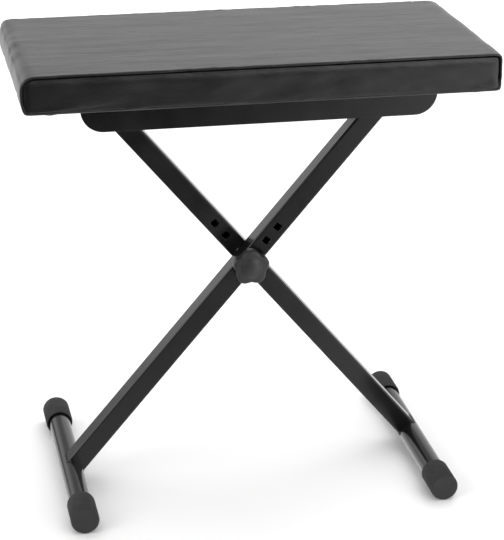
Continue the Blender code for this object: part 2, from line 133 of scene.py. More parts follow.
def quarter(steps):
    """Angles from 0 to a right angle, in this many steps."""
    return [math.pi / 2 * i / steps for i in range(steps + 1)]


# Settings that a user would change


def size_setting(name, default, description):
    """A setting in metres."""
    return FloatProperty(name=name, description=description, default=default, unit="LENGTH")


def colour_setting(name, hex_colour, description):
    return FloatVectorProperty(
        name=name, description=description, subtype="COLOR", size=4, default=srgb(hex_colour),
        min=0, max=1,
    )


class BenchSeatSettings(bpy.types.PropertyGroup):
    """Upholstery of the seat."""

    roll: size_setting("Edge roll", 0.0024, "Radius where the wrap turns over into the end seams")
    left_corner: size_setting("Left corner", 0.0115, "Radius of the left end's top edge, at the front")
    right_corner: size_setting("Right corner", 0.0042, "Radius of the right end's top edge, at the front")
    grid: size_setting("Cloth grid", 0.0066, "Spacing of the cloth's grid before it is subdivided")
    end_bulge: size_setting("End bulge", 0.0040, "How far the middle of the left end stands out")
    vinyl_thickness: size_setting("Vinyl thickness", 0.0012, "Thickness of the cover")
    seam_depth: size_setting("Seam depth", 0.0018, "How far the seam is pulled in")
    pressure: FloatProperty(
        name="Foam pressure", description="Push of the foam against the cover", default=4.0,
    )
    swell: size_setting("Most swell", 0.0035, "The furthest that the foam pushes the cover out")
    staple_spacing: size_setting("Staple spacing", 0.030, "Distance between the staples under the seat")
    vinyl: colour_setting("Vinyl", "#141414", "Colour of the cover")


class BenchSteelSettings(bpy.types.PropertyGroup):
    """Tray, legs and foot tubes."""

    sheet: size_setting("Tray sheet", 0.002, "Thickness of the tray's steel")
    tray_corner: size_setting("Tray corner", 0.028, "Radius of the flanges' lower corners")
    leg_face: size_setting("Leg face", 0.026, "Width of a leg seen from the front")
    leg_corner: size_setting("Leg corner", 0.002, "Radius along a leg's edges")
    tube_wall: size_setting("Tube wall", 0.0015, "Wall of the legs and the foot tubes")
    square_hole: size_setting("Square hole", 0.009, "Width of the holes for the clamp bolt")
    weld: size_setting("Weld bead", 0.0019, "Radius of the weld beads")
    coat: colour_setting("Powder coat", "#181818", "Colour of the painted steel")


class BenchFittingSettings(bpy.types.PropertyGroup):
    """Rubber caps, knob and hardware."""

    cap_ribs: IntProperty(
        name="Cap ribs", description="Moulded ribs round each foot cap", default=46, min=3,
    )
    rib_height: size_setting("Rib height", 0.0008, "How far the ribs stand out")
    lobes: IntProperty(name="Knob lobes", description="Lobes of the star knob", default=5, min=3)
    thread_pitch: size_setting("Thread pitch", 0.00125, "Pitch of the M8 threads")
    rubber: colour_setting("Rubber", "#2d2d2d", "Colour of the foot caps")
    plastic: colour_setting("Knob plastic", "#2a2a2a", "Colour of the star knob")


class BenchStageSettings(bpy.types.PropertyGroup):
    """Floor, light and camera."""

    floor: colour_setting("Floor", "#f7f7f7", "Colour of the studio floor")
    surround: FloatProperty(
        name="Surround", description="Brightness of the white studio round the bench", default=1.08,
    )
    overhead: FloatProperty(
        name="Overhead", description="Strength of the overhead light", default=1.9,
    )


# Meshes


def loft(bm, loops, cyclic=False, caps=False):
    """Skins a row of closed loops, each with as many points. Cyclic joins the last loop to the first."""
    rows = [[bm.verts.new(point) for point in loop] for loop in loops]
    pairs = list(zip(rows, rows[1:]))
    if cyclic:
        pairs.append((rows[-1], rows[0]))
    for first, second in pairs:
        for i in range(len(first)):
            j = (i + 1) % len(first)
            bm.faces.new((first[i], first[j], second[j], second[i]))
    if caps:
        bm.faces.new(list(reversed(rows[0])))
        bm.faces.new(rows[-1])
    return rows



def turn(bm, rows, steps, cyclic=False):
    """Lofts rings about Z. A row is a height and a radius, or a function of the angle that gives one."""
    loops = []
    for height, radius in rows:
        loop = []
        for i in range(steps):
            angle = 2 * math.pi * i / steps
            reach = radius(angle) if callable(radius) else radius
            loop.append(Vector((reach * math.cos(angle), reach * math.sin(angle), height)))
        loops.append(loop)
    return loft(bm, loops, cyclic)


def arc(middle_height, middle_radius, size, start, end, steps):
    """Rows of a rounded edge. Angles are in degrees: 0 points away from the axis, 90 along it."""
    rows = []
    for i in range(steps + 1):
        angle = math.radians(start + (end - start) * i / steps)
        rows.append((middle_height + size * math.sin(angle), middle_radius + size * math.cos(angle)))
    return rows


def polygon(sides, flats, most):
    """Radius of a regular polygon this wide across its flats, cut off by a cone whose radius is most."""
    step = 2 * math.pi / sides

    def radius(angle):
        turned = (angle + step / 2) % step - step / 2
        return min(flats / 2 / math.cos(turned), most)

    return radius


def facing(origin, axis, across=UP):
    """Matrix that puts Z along axis and X along across, as far as axis lets it, from origin."""
    z = Vector(axis).normalized()
    x = (Vector(across) - Vector(across).dot(z) * z).normalized()
    y = z.cross(x)
    matrix = Matrix((x, y, z)).transposed().to_4x4()
    matrix.translation = origin
    return matrix


def linked(name, mesh):
    piece = bpy.data.objects.new(name, mesh)
    bpy.context.scene.collection.objects.link(piece)
    return piece


def finished(name, bm, material, place=None, sharp=35):
    """The mesh as an object at the origin, closed at its seams and poles, with its faces outwards."""
    if place is not None:
        bm.transform(place)
    bmesh.ops.remove_doubles(bm, verts=bm.verts, dist=0.002 * MM)
    bmesh.ops.recalc_face_normals(bm, faces=bm.faces)
    mesh = bpy.data.meshes.new(name)
    bm.to_mesh(mesh)
    bm.free()
    mesh.shade_smooth()
    mesh.set_sharp_from_angle(angle=math.radians(sharp))
    mesh.materials.append(material)
    return linked(name, mesh)


def turned_piece(name, rows, steps, material, place, cyclic=False, sharp=35):
    """A piece turned about the Z of its place."""
    bm = bmesh.new()
    turn(bm, rows, steps, cyclic)
    return finished(name, bm, material, place, sharp)


def end_of(node, way=1, across=(1, 0, 0)):
    """Place at a CAD node's end, with Z along its middle: way is 1 from the front, -1 from the back."""
    low, high, middle = node_box(node)
    start = Vector((middle.x, low.y if way > 0 else high.y, middle.z))
    return facing(start, (0, way, 0), across)


def bake(piece):
    """Turns the piece's modifiers into plain mesh."""
    bpy.context.view_layer.update()
    graph = bpy.context.evaluated_depsgraph_get()
    mesh = bpy.data.meshes.new_from_object(
        piece.evaluated_get(graph), preserve_all_data_layers=True, depsgraph=graph
    )
    piece.modifiers.clear()
    plain = piece.data
    piece.data = mesh
    bpy.data.meshes.remove(plain)
    mesh.name = piece.name


def cut(piece, tool):
    """Cuts the tool's shape out of the piece, and removes the tool."""
    modifier = piece.modifiers.new("Cut", "BOOLEAN")
    modifier.object = tool
    bake(piece)
    bpy.data.objects.remove(tool)


def level_faces(piece):
    """Keeps large flat faces shaded flat where they run into a small rounding."""
    piece.data.shade_smooth()
    piece.data.set_sharp_from_angle(angle=math.radians(50))
    level = piece.modifiers.new("Level", "WEIGHTED_NORMAL")
    level.keep_sharp = True
    level.weight = 100
    bake(piece)
    return piece


def bevelled(piece, width, segments, degrees):
    """Bevels the piece's edges that are sharper than this, and keeps its large faces shaded flat."""
    put(
        piece.modifiers.new("Bevel", "BEVEL"), width=width, segments=segments, limit_method="ANGLE",
        angle_limit=math.radians(degrees),
    )
    bake(piece)
    return level_faces(piece)


def softened_copy(node, name, material):
    """A CAD node's shape with its sharp edges rounded, as bent and painted sheet has them."""
    bm = bmesh.new()
    bm.from_mesh(frame["nodes"][node].data)
    bmesh.ops.remove_doubles(bm, verts=bm.verts, dist=0.005 * MM)
    flat = math.radians(1)
    bmesh.ops.dissolve_limit(bm, angle_limit=flat, verts=bm.verts, edges=bm.edges)
    return bevelled(finished(name, bm, material), 0.35 * MM, 2, 50)


def settle(piece, body, slot, *nodes):
    """The piece rides on a body and stands for these CAD nodes. The slot is not used."""
    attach(piece, body)
    if nodes:
        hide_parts(*nodes)
    return piece


# Nodes


def add(tree, kind, links=None, values=None, **settings):
    """Adds a node with its settings, its inputs' values and the sockets that feed it."""
    node = tree.nodes.new(kind)
    for name, value in settings.items():
        setattr(node, name, value)
    for socket, value in (values or {}).items():
        node.inputs[socket].default_value = value
    for socket, source in (links or {}).items():
        tree.links.new(source, node.inputs[socket])
    return node


def finish(name, **values):
    """A Principled material: its tree, its shader and the piece's own Object coordinates."""
    material = bpy.data.materials.new(name)
    material.use_nodes = True
    tree = material.node_tree
    shader = tree.nodes["Principled BSDF"]
    for socket, value in values.items():
        shader.inputs[socket.replace("_", " ")].default_value = value
    place = add(tree, "ShaderNodeTexCoord").outputs["Object"]
    return material, tree, shader, place


def per_metre(millimetres):
    """Texture scale that gives one cell in each of this many millimetres."""
    return 1 / (millimetres * MM)


def fractal(tree, place, size, detail, roughness=0.5, distortion=0.0):
    """Fractal noise with hills this many millimetres across. Three sizes differ along X, Y and Z."""
    scale = 1.0
    if isinstance(size, tuple):
        stretch = {"Scale": tuple(per_metre(s) for s in size)}
        place = add(tree, "ShaderNodeMapping", {"Vector": place}, stretch).outputs[0]
    else:
        scale = per_metre(size)
    values = {"Scale": scale, "Detail": detail, "Roughness": roughness, "Distortion": distortion}
    return add(tree, "ShaderNodeTexNoise", {"Vector": place}, values).outputs["Fac"]


def bumped(tree, shader, height, strength, depth, over=None, invert=False):
    """Bump of this depth in millimetres, laid over another one if that is given."""
    links = {"Height": height} if over is None else {"Height": height, "Normal": over}
    values = {"Strength": strength, "Distance": depth * MM}
    bump = add(tree, "ShaderNodeBump", links, values, invert=invert)
    tree.links.new(bump.outputs["Normal"], shader.inputs["Normal"])
    return bump.outputs["Normal"]


def roughened(tree, shader, source, smooth, rough, start=0.3, end=0.7):
    """Roughness that goes from smooth to rough as the source goes from start to end."""
    values = {"From Min": start, "From Max": end, "To Min": smooth, "To Max": rough}
    mapped = add(tree, "ShaderNodeMapRange", {"Value": source}, values)
    tree.links.new(mapped.outputs["Result"], shader.inputs["Roughness"])


def shaded(tree, shader, factor, colour, dark, light):
    """Base colour that goes from dark to light times itself as the factor rises."""
    mixed = add(tree, "ShaderNodeMix", {0: factor}, data_type="RGBA")
    for socket, times in ((6, dark), (7, light)):
        mixed.inputs[socket].default_value = (*[c * times for c in colour[:3]], 1)
    tree.links.new(mixed.outputs[2], shader.inputs["Base Color"])


def two_toned(tree, shader, source, *stops):
    """Base colour that goes between two stops, each a value of the source and a hex colour."""
    ramp = add(tree, "ShaderNodeValToRGB", {"Fac": source})
    for element, (position, hex_colour) in zip(ramp.color_ramp.elements, stops):
        put(element, position=position, color=srgb(hex_colour))
    tree.links.new(ramp.outputs["Color"], shader.inputs["Base Color"])


def upholstery_vinyl(colour):
    """PVC-coated cloth, rolled with a fine calf grain: near black, waxy, with drag lines from stretching."""
    material, tree, shader, place = finish("Calf-grain upholstery vinyl", IOR=1.52)
    # The real grain is 0.6 mm: it is drawn at 1.4 mm, so that it shows.
    pebbles = add(
        tree, "ShaderNodeTexVoronoi", {"Vector": place}, {"Scale": per_metre(1.4)},
        feature="SMOOTH_F1",
    )
    drag = fractal(tree, place, (26, 3.2, 9), 3.0, 0.55)
    cloud = fractal(tree, place, 34, 4.0, 0.6)
    dragged = bumped(tree, shader, drag, 0.9, 0.30)
    bumped(tree, shader, pebbles.outputs["Distance"], 0.35, 0.10, over=dragged)
    worn = add(
        tree, "ShaderNodeMix", {"Factor": cloud, "A": drag}, {"B": 0.5}, data_type="FLOAT",
    )
    roughened(tree, shader, worn.outputs[0], 0.25, 0.36)
    shaded(tree, shader, cloud, colour, 0.75, 1.3)
    return material


def powder_coat(colour):
    """Satin black polyester powder, baked on: slightly uneven like orange peel, with a soft gloss."""
    material, tree, shader, place = finish("Satin black powder coat", IOR=1.5)
    flow = fractal(tree, place, 45, 3.0)
    bumped(tree, shader, fractal(tree, place, 1.8, 2.0), 0.4, 0.05)
    roughened(tree, shader, flow, 0.15, 0.22)
    shaded(tree, shader, flow, colour, 0.85, 1.15)
    return material


def moulded(name, colour, smooth, rough, grain, depth):
    """A moulded plastic or rubber with the spark-eroded grain of its mould, in millimetres."""
    material, tree, shader, place = finish(name)
    bloom = fractal(tree, place, 14, 3.0)
    bumped(tree, shader, fractal(tree, place, grain, 3.0, 0.6), 0.5, depth)
    roughened(tree, shader, bloom, smooth, rough)
    shaded(tree, shader, bloom, colour, 0.85, 1.15)
    return material


def zinc_plate():
    """Cold-formed steel, bright zinc plated: silver grey with a faint blue and yellow haze."""
    material, tree, shader, place = finish("Bright zinc plate", Metallic=1.0)
    haze = fractal(tree, place, 6, 4.0)
    two_toned(tree, shader, haze, (0.35, "#b4b8bf"), (0.65, "#cfccc2"))
    roughened(tree, shader, haze, 0.22, 0.38)
    return material


def turned_brass(middle):
    """Free-cutting brass, turned: yellow, with fine rings from the tool on its ends."""
    material, tree, shader, place = finish(
        "Turned brass", Metallic=1.0, Base_Color=srgb("#c8a45c")
    )
    centred = add(tree, "ShaderNodeMapping", {"Vector": place}, {"Location": tuple(-middle)})
    wave_per_metre = math.pi / 10  # a wave texture of scale 1 has one ring in this length
    rings = add(
        tree, "ShaderNodeTexWave", {"Vector": centred.outputs[0]},
        {"Scale": wave_per_metre * per_metre(0.4), "Distortion": 0.5},
        wave_type="RINGS", rings_direction="Y",
    ).outputs["Fac"]
    bumped(tree, shader, rings, 0.4, 0.02)
    roughened(tree, shader, rings, 0.22, 0.34, 0, 1)
    return material


def birch_plywood():
    """Birch plywood, sanded: pale tan with long brown grain lines, and darker plies at its edges."""
    material, tree, shader, place = finish("Sanded birch plywood", IOR=1.48)
    grain = fractal(tree, place, (90, 4, 1.4), 6.0, 0.65, 0.6)
    two_toned(tree, shader, grain, (0.3, "#8d6b45"), (0.62, "#c8a67a"))
    bumped(tree, shader, grain, 0.5, 0.15)
    roughened(tree, shader, grain, 0.55, 0.8, 0, 1)
    return material


def seat_foam_finish():
    """Cut polyurethane foam: cream, matte, with open cells of about a millimetre, their sunken middles
    painted darker as painted shade.
    """
    material, tree, shader, place = finish("Cut polyurethane foam", IOR=1.4)
    cells = add(
        tree, "ShaderNodeTexVoronoi", {"Vector": place}, {"Scale": per_metre(1.1)},
        feature="DISTANCE_TO_EDGE",
    ).outputs["Distance"]
    # Painted shade: the cream darkens towards each cell's middle, where the inverted bump sinks it into a
    # pore.
    two_toned(tree, shader, cells, (0.0, "#e6d9ae"), (0.5, "#b39f6a"))
    bumped(tree, shader, cells, 0.9, 0.4, invert=True)
    roughened(tree, shader, cells, 0.85, 0.97, 0, 1)
    return material


def studio_paper(colour):
    """Seamless background paper: near white and dull, with a trace of fibre."""
    material, tree, shader, place = finish("Seamless white paper", IOR=1.3, Roughness=0.9)
    shaded(tree, shader, fractal(tree, place, 3, 2.0), colour, 0.99, 1.0)
    return material


made_once = {}


def shared(name, build, *facts):
    """Something made once and used again, such as the material of pieces with the same finish."""
    if name not in made_once:
        made_once[name] = build(*facts)
    return made_once[name]


def black_steel():
    return shared("black_steel", powder_coat, bpy.context.scene.bench_steel.coat)


def zinc():
    return shared("zinc_steel", zinc_plate)


def white_nylon():
    return shared(
        "nylon", moulded, "Natural moulded nylon", srgb("#d9d5c6"), 0.42, 0.55, 0.5, 0.03
    )


# Geometry Nodes


def setting_out():
    """Geometry Nodes tree that sets copies of a small piece out along a path. The path's attribute
    "out" gives the way that each copy stands up. Returns the tree and its inputs' identifiers."""
    tree = bpy.data.node_groups.new("Set out along a path", "GeometryNodeTree")
    inputs = {}
    for label, kind in (
        ("Path", "NodeSocketGeometry"), ("Piece", "NodeSocketObject"),
        ("Spacing", "NodeSocketFloat"), ("Random turn", "NodeSocketFloat"),
        ("Smallest size", "NodeSocketFloat"), ("Seed", "NodeSocketInt"),
        ("Material", "NodeSocketMaterial"),
    ):
        inputs[label] = tree.interface.new_socket(label, in_out="INPUT", socket_type=kind).identifier
    tree.interface.new_socket("Geometry", in_out="OUTPUT", socket_type="NodeSocketGeometry")
    given = add(tree, "NodeGroupInput").outputs
    curve = add(tree, "GeometryNodeMeshToCurve", {"Mesh": given["Path"]})
    points = add(
        tree, "GeometryNodeResampleCurve", {"Curve": curve.outputs[0], "Length": given["Spacing"]},
        mode="LENGTH",
    )
    tangent = add(tree, "GeometryNodeInputTangent")
    out = add(
        tree, "GeometryNodeInputNamedAttribute", values={"Name": "out"}, data_type="FLOAT_VECTOR"
    )
    aim = add(
        tree, "FunctionNodeAxesToRotation",
        {"Primary Axis": out.outputs[0], "Secondary Axis": tangent.outputs[0]},
        primary_axis="Z", secondary_axis="X",
    )
    least = add(
        tree, "ShaderNodeMath", {0: given["Random turn"]}, {1: -1.0}, operation="MULTIPLY"
    )
    angle = add(
        tree, "FunctionNodeRandomValue",
        {2: least.outputs[0], 3: given["Random turn"], "Seed": given["Seed"]}, data_type="FLOAT",
    )
    twist = add(
        tree, "FunctionNodeAxisAngleToRotation", {"Angle": angle.outputs[1]}, {"Axis": (0, 0, 1)}
    )
    turned = add(
        tree, "FunctionNodeRotateRotation",
        {"Rotation": aim.outputs[0], "Rotate By": twist.outputs[0]}, rotation_space="LOCAL",
    )
    size = add(
        tree, "FunctionNodeRandomValue", {2: given["Smallest size"], "Seed": given["Seed"]},
        {3: 1.0}, data_type="FLOAT",
    )
    piece = add(tree, "GeometryNodeObjectInfo", {"Object": given["Piece"]})
    copies = add(
        tree, "GeometryNodeInstanceOnPoints",
        {
            "Points": points.outputs[0], "Instance": piece.outputs["Geometry"],
            "Rotation": turned.outputs[0], "Scale": size.outputs[1],
        },
    )
    real = add(tree, "GeometryNodeRealizeInstances", {"Geometry": copies.outputs[0]})
    painted = add(
        tree, "GeometryNodeSetMaterial",
        {"Geometry": real.outputs[0], "Material": given["Material"]},
    )
    add(tree, "NodeGroupOutput", {"Geometry": painted.outputs[0]})
    return tree, inputs


def set_out(name, paths, small, material, spacing, turn_by=0.0, smallest=1.0, seed=1):
    """Copies of a small piece along closed or open paths. A path is its points, the way out at each,
    and whether it closes. The result is a plain mesh."""
    tree, inputs = shared("setting_out", setting_out)
    points, outs, edges = [], [], []
    for path, ways, closes in paths:
        first = len(points)
        points += path
        outs += ways
        edges += [(first + i, first + i + 1) for i in range(len(path) - 1)]
        if closes:
            edges.append((first + len(path) - 1, first))
    mesh = bpy.data.meshes.new(name)
    mesh.from_pydata([tuple(p) for p in points], edges, [])
    ways = mesh.attributes.new("out", "FLOAT_VECTOR", "POINT")
    ways.data.foreach_set("vector", np.array([tuple(w) for w in outs], np.float32).ravel())
    piece = linked(name, mesh)
    nodes = piece.modifiers.new("Set out", "NODES")
    nodes.node_group = tree
    for label, value in (
        ("Piece", small), ("Spacing", spacing), ("Random turn", turn_by),
        ("Smallest size", smallest), ("Seed", seed), ("Material", material),
    ):
        nodes[inputs[label]] = value
    bake(piece)
    bpy.data.objects.remove(small)
    piece.data.shade_smooth()
    piece.data.set_sharp_from_angle(angle=math.radians(50))
    return piece


def weld_ripple(radius):
    """One ripple of a weld bead: a flattened drop, wider than it is long."""
    bm = bmesh.new()
    turn(bm, arc(0, 0, radius, -90, 90, 5), 8)
    bm.transform(Matrix.Diagonal((0.85, 1.25, 0.9, 1)))
    return finished("weld_ripple", bm, black_steel())


# Seat


def rounded_loop(sides, radii, counts):
    """Points round a rectangle with rounded corners, clockwise from the middle of its upper left
    corner. Counts are the steps along its long and its short sides."""
    left, right, low, high = sides
    upper_left, upper_right, lower = radii
    corners = (
        (left + upper_left, high - upper_left, upper_left, 135),
        (right - upper_right, high - upper_right, upper_right, 45),
        (right - lower, low + lower, lower, -45),
        (left + lower, low + lower, lower, -135),
    )
    half = 8  # steps in half a corner
    points = []
    for i in range(4):
        path = []
        for corner, steps in ((corners[i], range(half + 1)), (corners[(i + 1) % 4], range(-half, 1))):
            x, z, radius, middle = corner
            for step in steps:
                angle = math.radians(middle - step * 45 / half)
                path.append((x + radius * math.cos(angle), z + radius * math.sin(angle)))
        path = np.array(path)
        reach = np.concatenate(([0.0], np.cumsum(np.hypot(*np.diff(path, axis=0).T))))
        at = np.linspace(0, reach[-1], counts[i % 2] + 1)[:-1]
        points += list(zip(np.interp(at, reach, path[:, 0]), np.interp(at, reach, path[:, 1])))
    return points


NEAR_SEAM = 3 * MM  # a seam draws in the cloth this far from it
LEVEL = 0.8 * MM  # points this close to a height count as lying at it
HELD_ON_TOP, HELD_AT_SIDES, HELD_AT_SEAMS = 0.30, 0.12, 0.5  # 1 is fixed, as under the board
CLOTH_FRAMES = 20
RELAXING_ROUNDS, SEAM_RELAXES = 40, 0.4  # 1 relaxes fully
LEAST_OUTWARD = -0.3 * MM  # the cover can't sink further than this into its foam
PLEATS, PLEAT_DEPTH, RIGHT_PLEATS = 9, 1.1 * MM, 0.4  # the right end's are this share as deep
PLEATED, PLEAT_MIDDLE = (0.045, 0.030), 0.05  # from the cover's sides: where they fade in, and fan out
EDGE_HANGS = 1.4 * MM


class Cushion:
    """Grid of the seat's cover: a wrap over the top and both ends, and a panel sewn in front and back."""

    SEAM_ROWS = (0.0010, 0.0022, 0.0038, 0.0060)  # rows of points beside a seam, from the seam
    SEAM_WIDTH, LIP = 0.3 * MM, 1.2 * MM  # the seam's own width, and the fold of the wrap beside it
    ROLL_STEPS = 5
    FREE = 0.05  # said of a point that is far from both seams
    LEAN = 0.0034  # how far a panel leans back where it meets its top seam
    LEAN_REACH = 0.0120
    END_SHARE, END_REACH = 0.45, 0.5  # the same at its ends, as shares of the lean and of its reach
    LOWER_RADIUS = 0.0022
    LEAST_RADIUS, TIGHTENING = 0.0020, 0.6  # corners tighten with the inset, down to the least radius
    TOP_EASE = 0.0022  # the cover's edges lie this far under its crown
    LEFT_TIGHTENS, RIGHT_LOOSENS = 0.55, 2.6  # change of the top corners' radii from front to back
    RIGHT_BULGE = 0.0012
    BULGE_FROM, BULGE_OVER = 0.26, 0.02  # where the ends begin to stand out, and over what length

    def __init__(self, seat):
        self.low, self.high, _ = node_box("seat_cover")
        self.roll = seat.roll
        self.corners = (seat.left_corner, seat.right_corner)
        self.end_bulge = seat.end_bulge
        self.grid = seat.grid
        size = self.high - self.low
        self.counts = (round(size.x / seat.grid), round(size.z / seat.grid))

    def loop(self, y, inset):
        """Section through the cover at this place along Y."""
        along = (y - self.low.y) / (self.high.y - self.low.y)
        sides = (
            self.low.x + inset, self.high.x - inset,
            self.low.z + inset, self.high.z - self.TOP_EASE - inset,
        )
        left = self.corners[0] * (1 - self.LEFT_TIGHTENS * along)
        right = self.corners[1] * (1 + self.RIGHT_LOOSENS * along)
        radii = (left, right, self.LOWER_RADIUS)
        radii = [max(radius - self.TIGHTENING * inset, self.LEAST_RADIUS) for radius in radii]
        points = []
        for x, z in rounded_loop(sides, radii, self.counts):
            share = clamped((z - self.low.z) / (self.high.z - self.low.z))
            bulge = self.end_bulge * math.sin(math.pi * share) ** 0.8 if x < 0 else self.RIGHT_BULGE
            x += math.copysign(bulge * clamped((abs(x) - self.BULGE_FROM) / self.BULGE_OVER), x)
            points.append(Vector((x, y, z)))
        return points

    def lean(self, point):
        """How far a panel lies behind its plane here: most at its top seam, a little at its ends."""
        below = (self.high.z - self.TOP_EASE - self.roll - point.z) / self.LEAN_REACH
        beside = (self.high.x - self.roll - abs(point.x)) / (self.END_REACH * self.LEAN_REACH)
        above = (point.z - self.low.z) / self.LEAN_REACH
        end = self.END_SHARE * clamped(1 - beside) ** 2 * clamped(above)
        return self.LEAN * max(clamped(1 - below) ** 2, end)

    def rows(self):
        """Where each loop lies along Y, how far it is inset, and how far it is from the seam."""
        front = [(self.low.y, self.roll + gap, gap) for gap in reversed(self.SEAM_ROWS)]
        front.append((self.low.y, self.roll + self.SEAM_WIDTH, 0.0))
        front.append((self.low.y + self.LIP, self.roll, -0.8 * MM))
        for turned in quarter(self.ROLL_STEPS):
            y = self.low.y + self.SEAM_WIDTH + self.roll * (1 - math.cos(turned))
            front.append((y, self.roll * (1 - math.sin(turned)), -2 * MM - self.roll * turned))
        start, flat = self.low.y + self.roll, self.high.y - self.low.y - 2 * self.roll
        count = round(flat / self.grid)
        top = [(start + flat * i / count, 0.0, -self.FREE) for i in range(1, count)]
        middle = self.low.y + self.high.y
        back = [(middle - y, inset, gap) for y, inset, gap in reversed(front)]
        return front + top + back

    def panel(self, bm, edge, gap_layer):
        """Fills the loop of an end panel with a grid that follows its outline."""
        nx, nz = self.counts
        grid = {}
        for i in range(nx + 1):
            grid[i, 0] = edge[i]
            grid[i, nz] = edge[2 * nx + nz - i]
        for j in range(1, nz):
            grid[0, j] = edge[-j]
            grid[nx, j] = edge[nx + j]
        for i in range(1, nx):
            for j in range(1, nz):
                u, v = i / nx, j / nz
                across = (1 - u) * grid[0, j].co + u * grid[nx, j].co
                down = (1 - v) * grid[i, 0].co + v * grid[i, nz].co
                top = (1 - u) * grid[0, 0].co + u * grid[nx, 0].co
                bottom = (1 - u) * grid[0, nz].co + u * grid[nx, nz].co
                vert = bm.verts.new(across + down - (1 - v) * top - v * bottom)
                vert[gap_layer] = self.FREE
                grid[i, j] = vert
        for i in range(nx):
            for j in range(nz):
                bm.faces.new((grid[i, j], grid[i + 1, j], grid[i + 1, j + 1], grid[i, j + 1]))

    def build(self):
        """The cover before it is stuffed. Each point says how far it is from the nearest seam, and how
        hard that seam pulls: not at all at the bottom of the panels."""
        bm = bmesh.new()
        gap_layer = bm.verts.layers.float.new("seam_gap")
        pull_layer = bm.verts.layers.float.new("seam_pull")
        rows = self.rows()
        rings = loft(bm, [self.loop(y, inset) for y, inset, _ in rows])
        for (_, _, gap), ring in zip(rows, rings):
            for vert in ring:
                vert[gap_layer] = gap
                vert[pull_layer] = clamped((vert.co.z - self.low.z) / 0.010 - 0.4)
        self.panel(bm, rings[0], gap_layer)
        self.panel(bm, rings[-1], gap_layer)
        for vert in bm.verts:
            if vert[gap_layer] >= 0:
                vert.co.y += math.copysign(self.lean(vert.co), -vert.co.y)
        return bm


def smooth_step(low, high, value):
    t = np.clip((value - low) / (high - low), 0, 1)
    return t * t * (3 - 2 * t)


def hill(value, width):
    """1 where the value is 0, falling to nothing over a few times the width."""
    return np.exp(-((value / width) ** 2))


def grain_noise(points, size, seed):
    """Soft noise from -1 to 1, with hills about size across. Size may differ along X, Y and Z."""
    scale = [1 / s for s in size]
    shift = 17.3 * seed
    values = [
        noise.noise((x * scale[0] + shift, y * scale[1] - shift, z * scale[2])) for x, y, z in points
    ]
    return np.array(values)


def point_values(points, name, width=3):
    """What a mesh says of its points, as an array with a row for each point."""
    out = np.empty(len(points) * width, np.float32)
    points.foreach_get(name, out)
    return out.reshape(-1, width).astype(float)


def positions(mesh):
    return point_values(mesh.vertices, "co")


def vertex_normals(mesh):
    return point_values(mesh.vertex_normals, "vector")


def layer(mesh, name):
    return point_values(mesh.attributes[name].data, "value", 1)[:, 0]


def place_points(mesh, points):
    mesh.vertices.foreach_set("co", points.astype(np.float32).ravel())
    mesh.update()


def relaxed(mesh, values, share, rounds):
    """Values at the points, each drawn towards the average of its neighbours, so that short waves die."""
    ends = np.empty(len(mesh.edges) * 2, np.int32)
    mesh.edges.foreach_get("vertices", ends)
    first, second = ends.reshape(-1, 2).T
    count = np.bincount(ends, minlength=len(mesh.vertices))[:, None]
    for _ in range(rounds):
        total = np.zeros_like(values)
        np.add.at(total, first, values[second])
        np.add.at(total, second, values[first])
        values = values + 0.5 * share[:, None] * (total / count - values)
    return values



def stuff(piece, cushion, seat):
    """Cloth simulation of the cover over its foam: its panels swell, and its seams draw in and pucker."""
    mesh = piece.data
    rest = positions(mesh)
    gap, pull = layer(mesh, "seam_gap"), layer(mesh, "seam_pull")
    under = rest[:, 2] < cushion.low.z + LEVEL
    on_top = rest[:, 2] > cushion.high.z - cushion.TOP_EASE - LEVEL
    seam = hill(gap, NEAR_SEAM) * pull
    hold = np.where(under, 1.0, np.where(on_top, HELD_ON_TOP, HELD_AT_SIDES))
    hold = np.clip(np.maximum(hold, HELD_AT_SEAMS * seam), 0, 1)
    for name, weights in (("hold", hold), ("gather", np.where(under, 0, seam))):
        group = piece.vertex_groups.new(name=name)
        for i, weight in enumerate(weights):
            if weight > 0.01:
                group.add([i], float(weight), "REPLACE")
    cloth = piece.modifiers.new("Stuffing", "CLOTH")
    put(
        cloth.settings, quality=6, mass=0.3, tension_stiffness=25, compression_stiffness=12,
        shear_stiffness=12, bending_stiffness=3.0, use_pressure=True,
        uniform_pressure_force=seat.pressure, vertex_group_mass="hold", pin_stiffness=1.0,
        vertex_group_shrink="gather", shrink_max=0.012,
    )
    cloth.settings.effector_weights.gravity = 0
    put(cloth.collision_settings, use_collision=False, use_self_collision=False)
    cloth.point_cache.frame_end = CLOTH_FRAMES
    scene = bpy.context.scene
    for number in range(1, CLOTH_FRAMES + 1):
        scene.frame_set(number)
    graph = bpy.context.evaluated_depsgraph_get()
    swollen = positions(piece.evaluated_get(graph).data)
    scene.frame_set(1)
    piece.modifiers.clear()
    piece.vertex_groups.clear()
    move = swollen - rest
    length = np.linalg.norm(move, axis=1, keepdims=True)
    limit = seat.swell
    move *= np.where(length > 1e-9, limit * np.tanh(length / limit) / np.maximum(length, 1e-9), 0)
    move = relaxed(mesh, move, np.where(np.abs(gap) < NEAR_SEAM, SEAM_RELAXES, 1.0), RELAXING_ROUNDS)
    out = vertex_normals(mesh)
    outward = np.sum(move * out, axis=1, keepdims=True)
    move += out * (np.maximum(outward, LEAST_OUTWARD) - outward)
    place_points(mesh, rest + move)


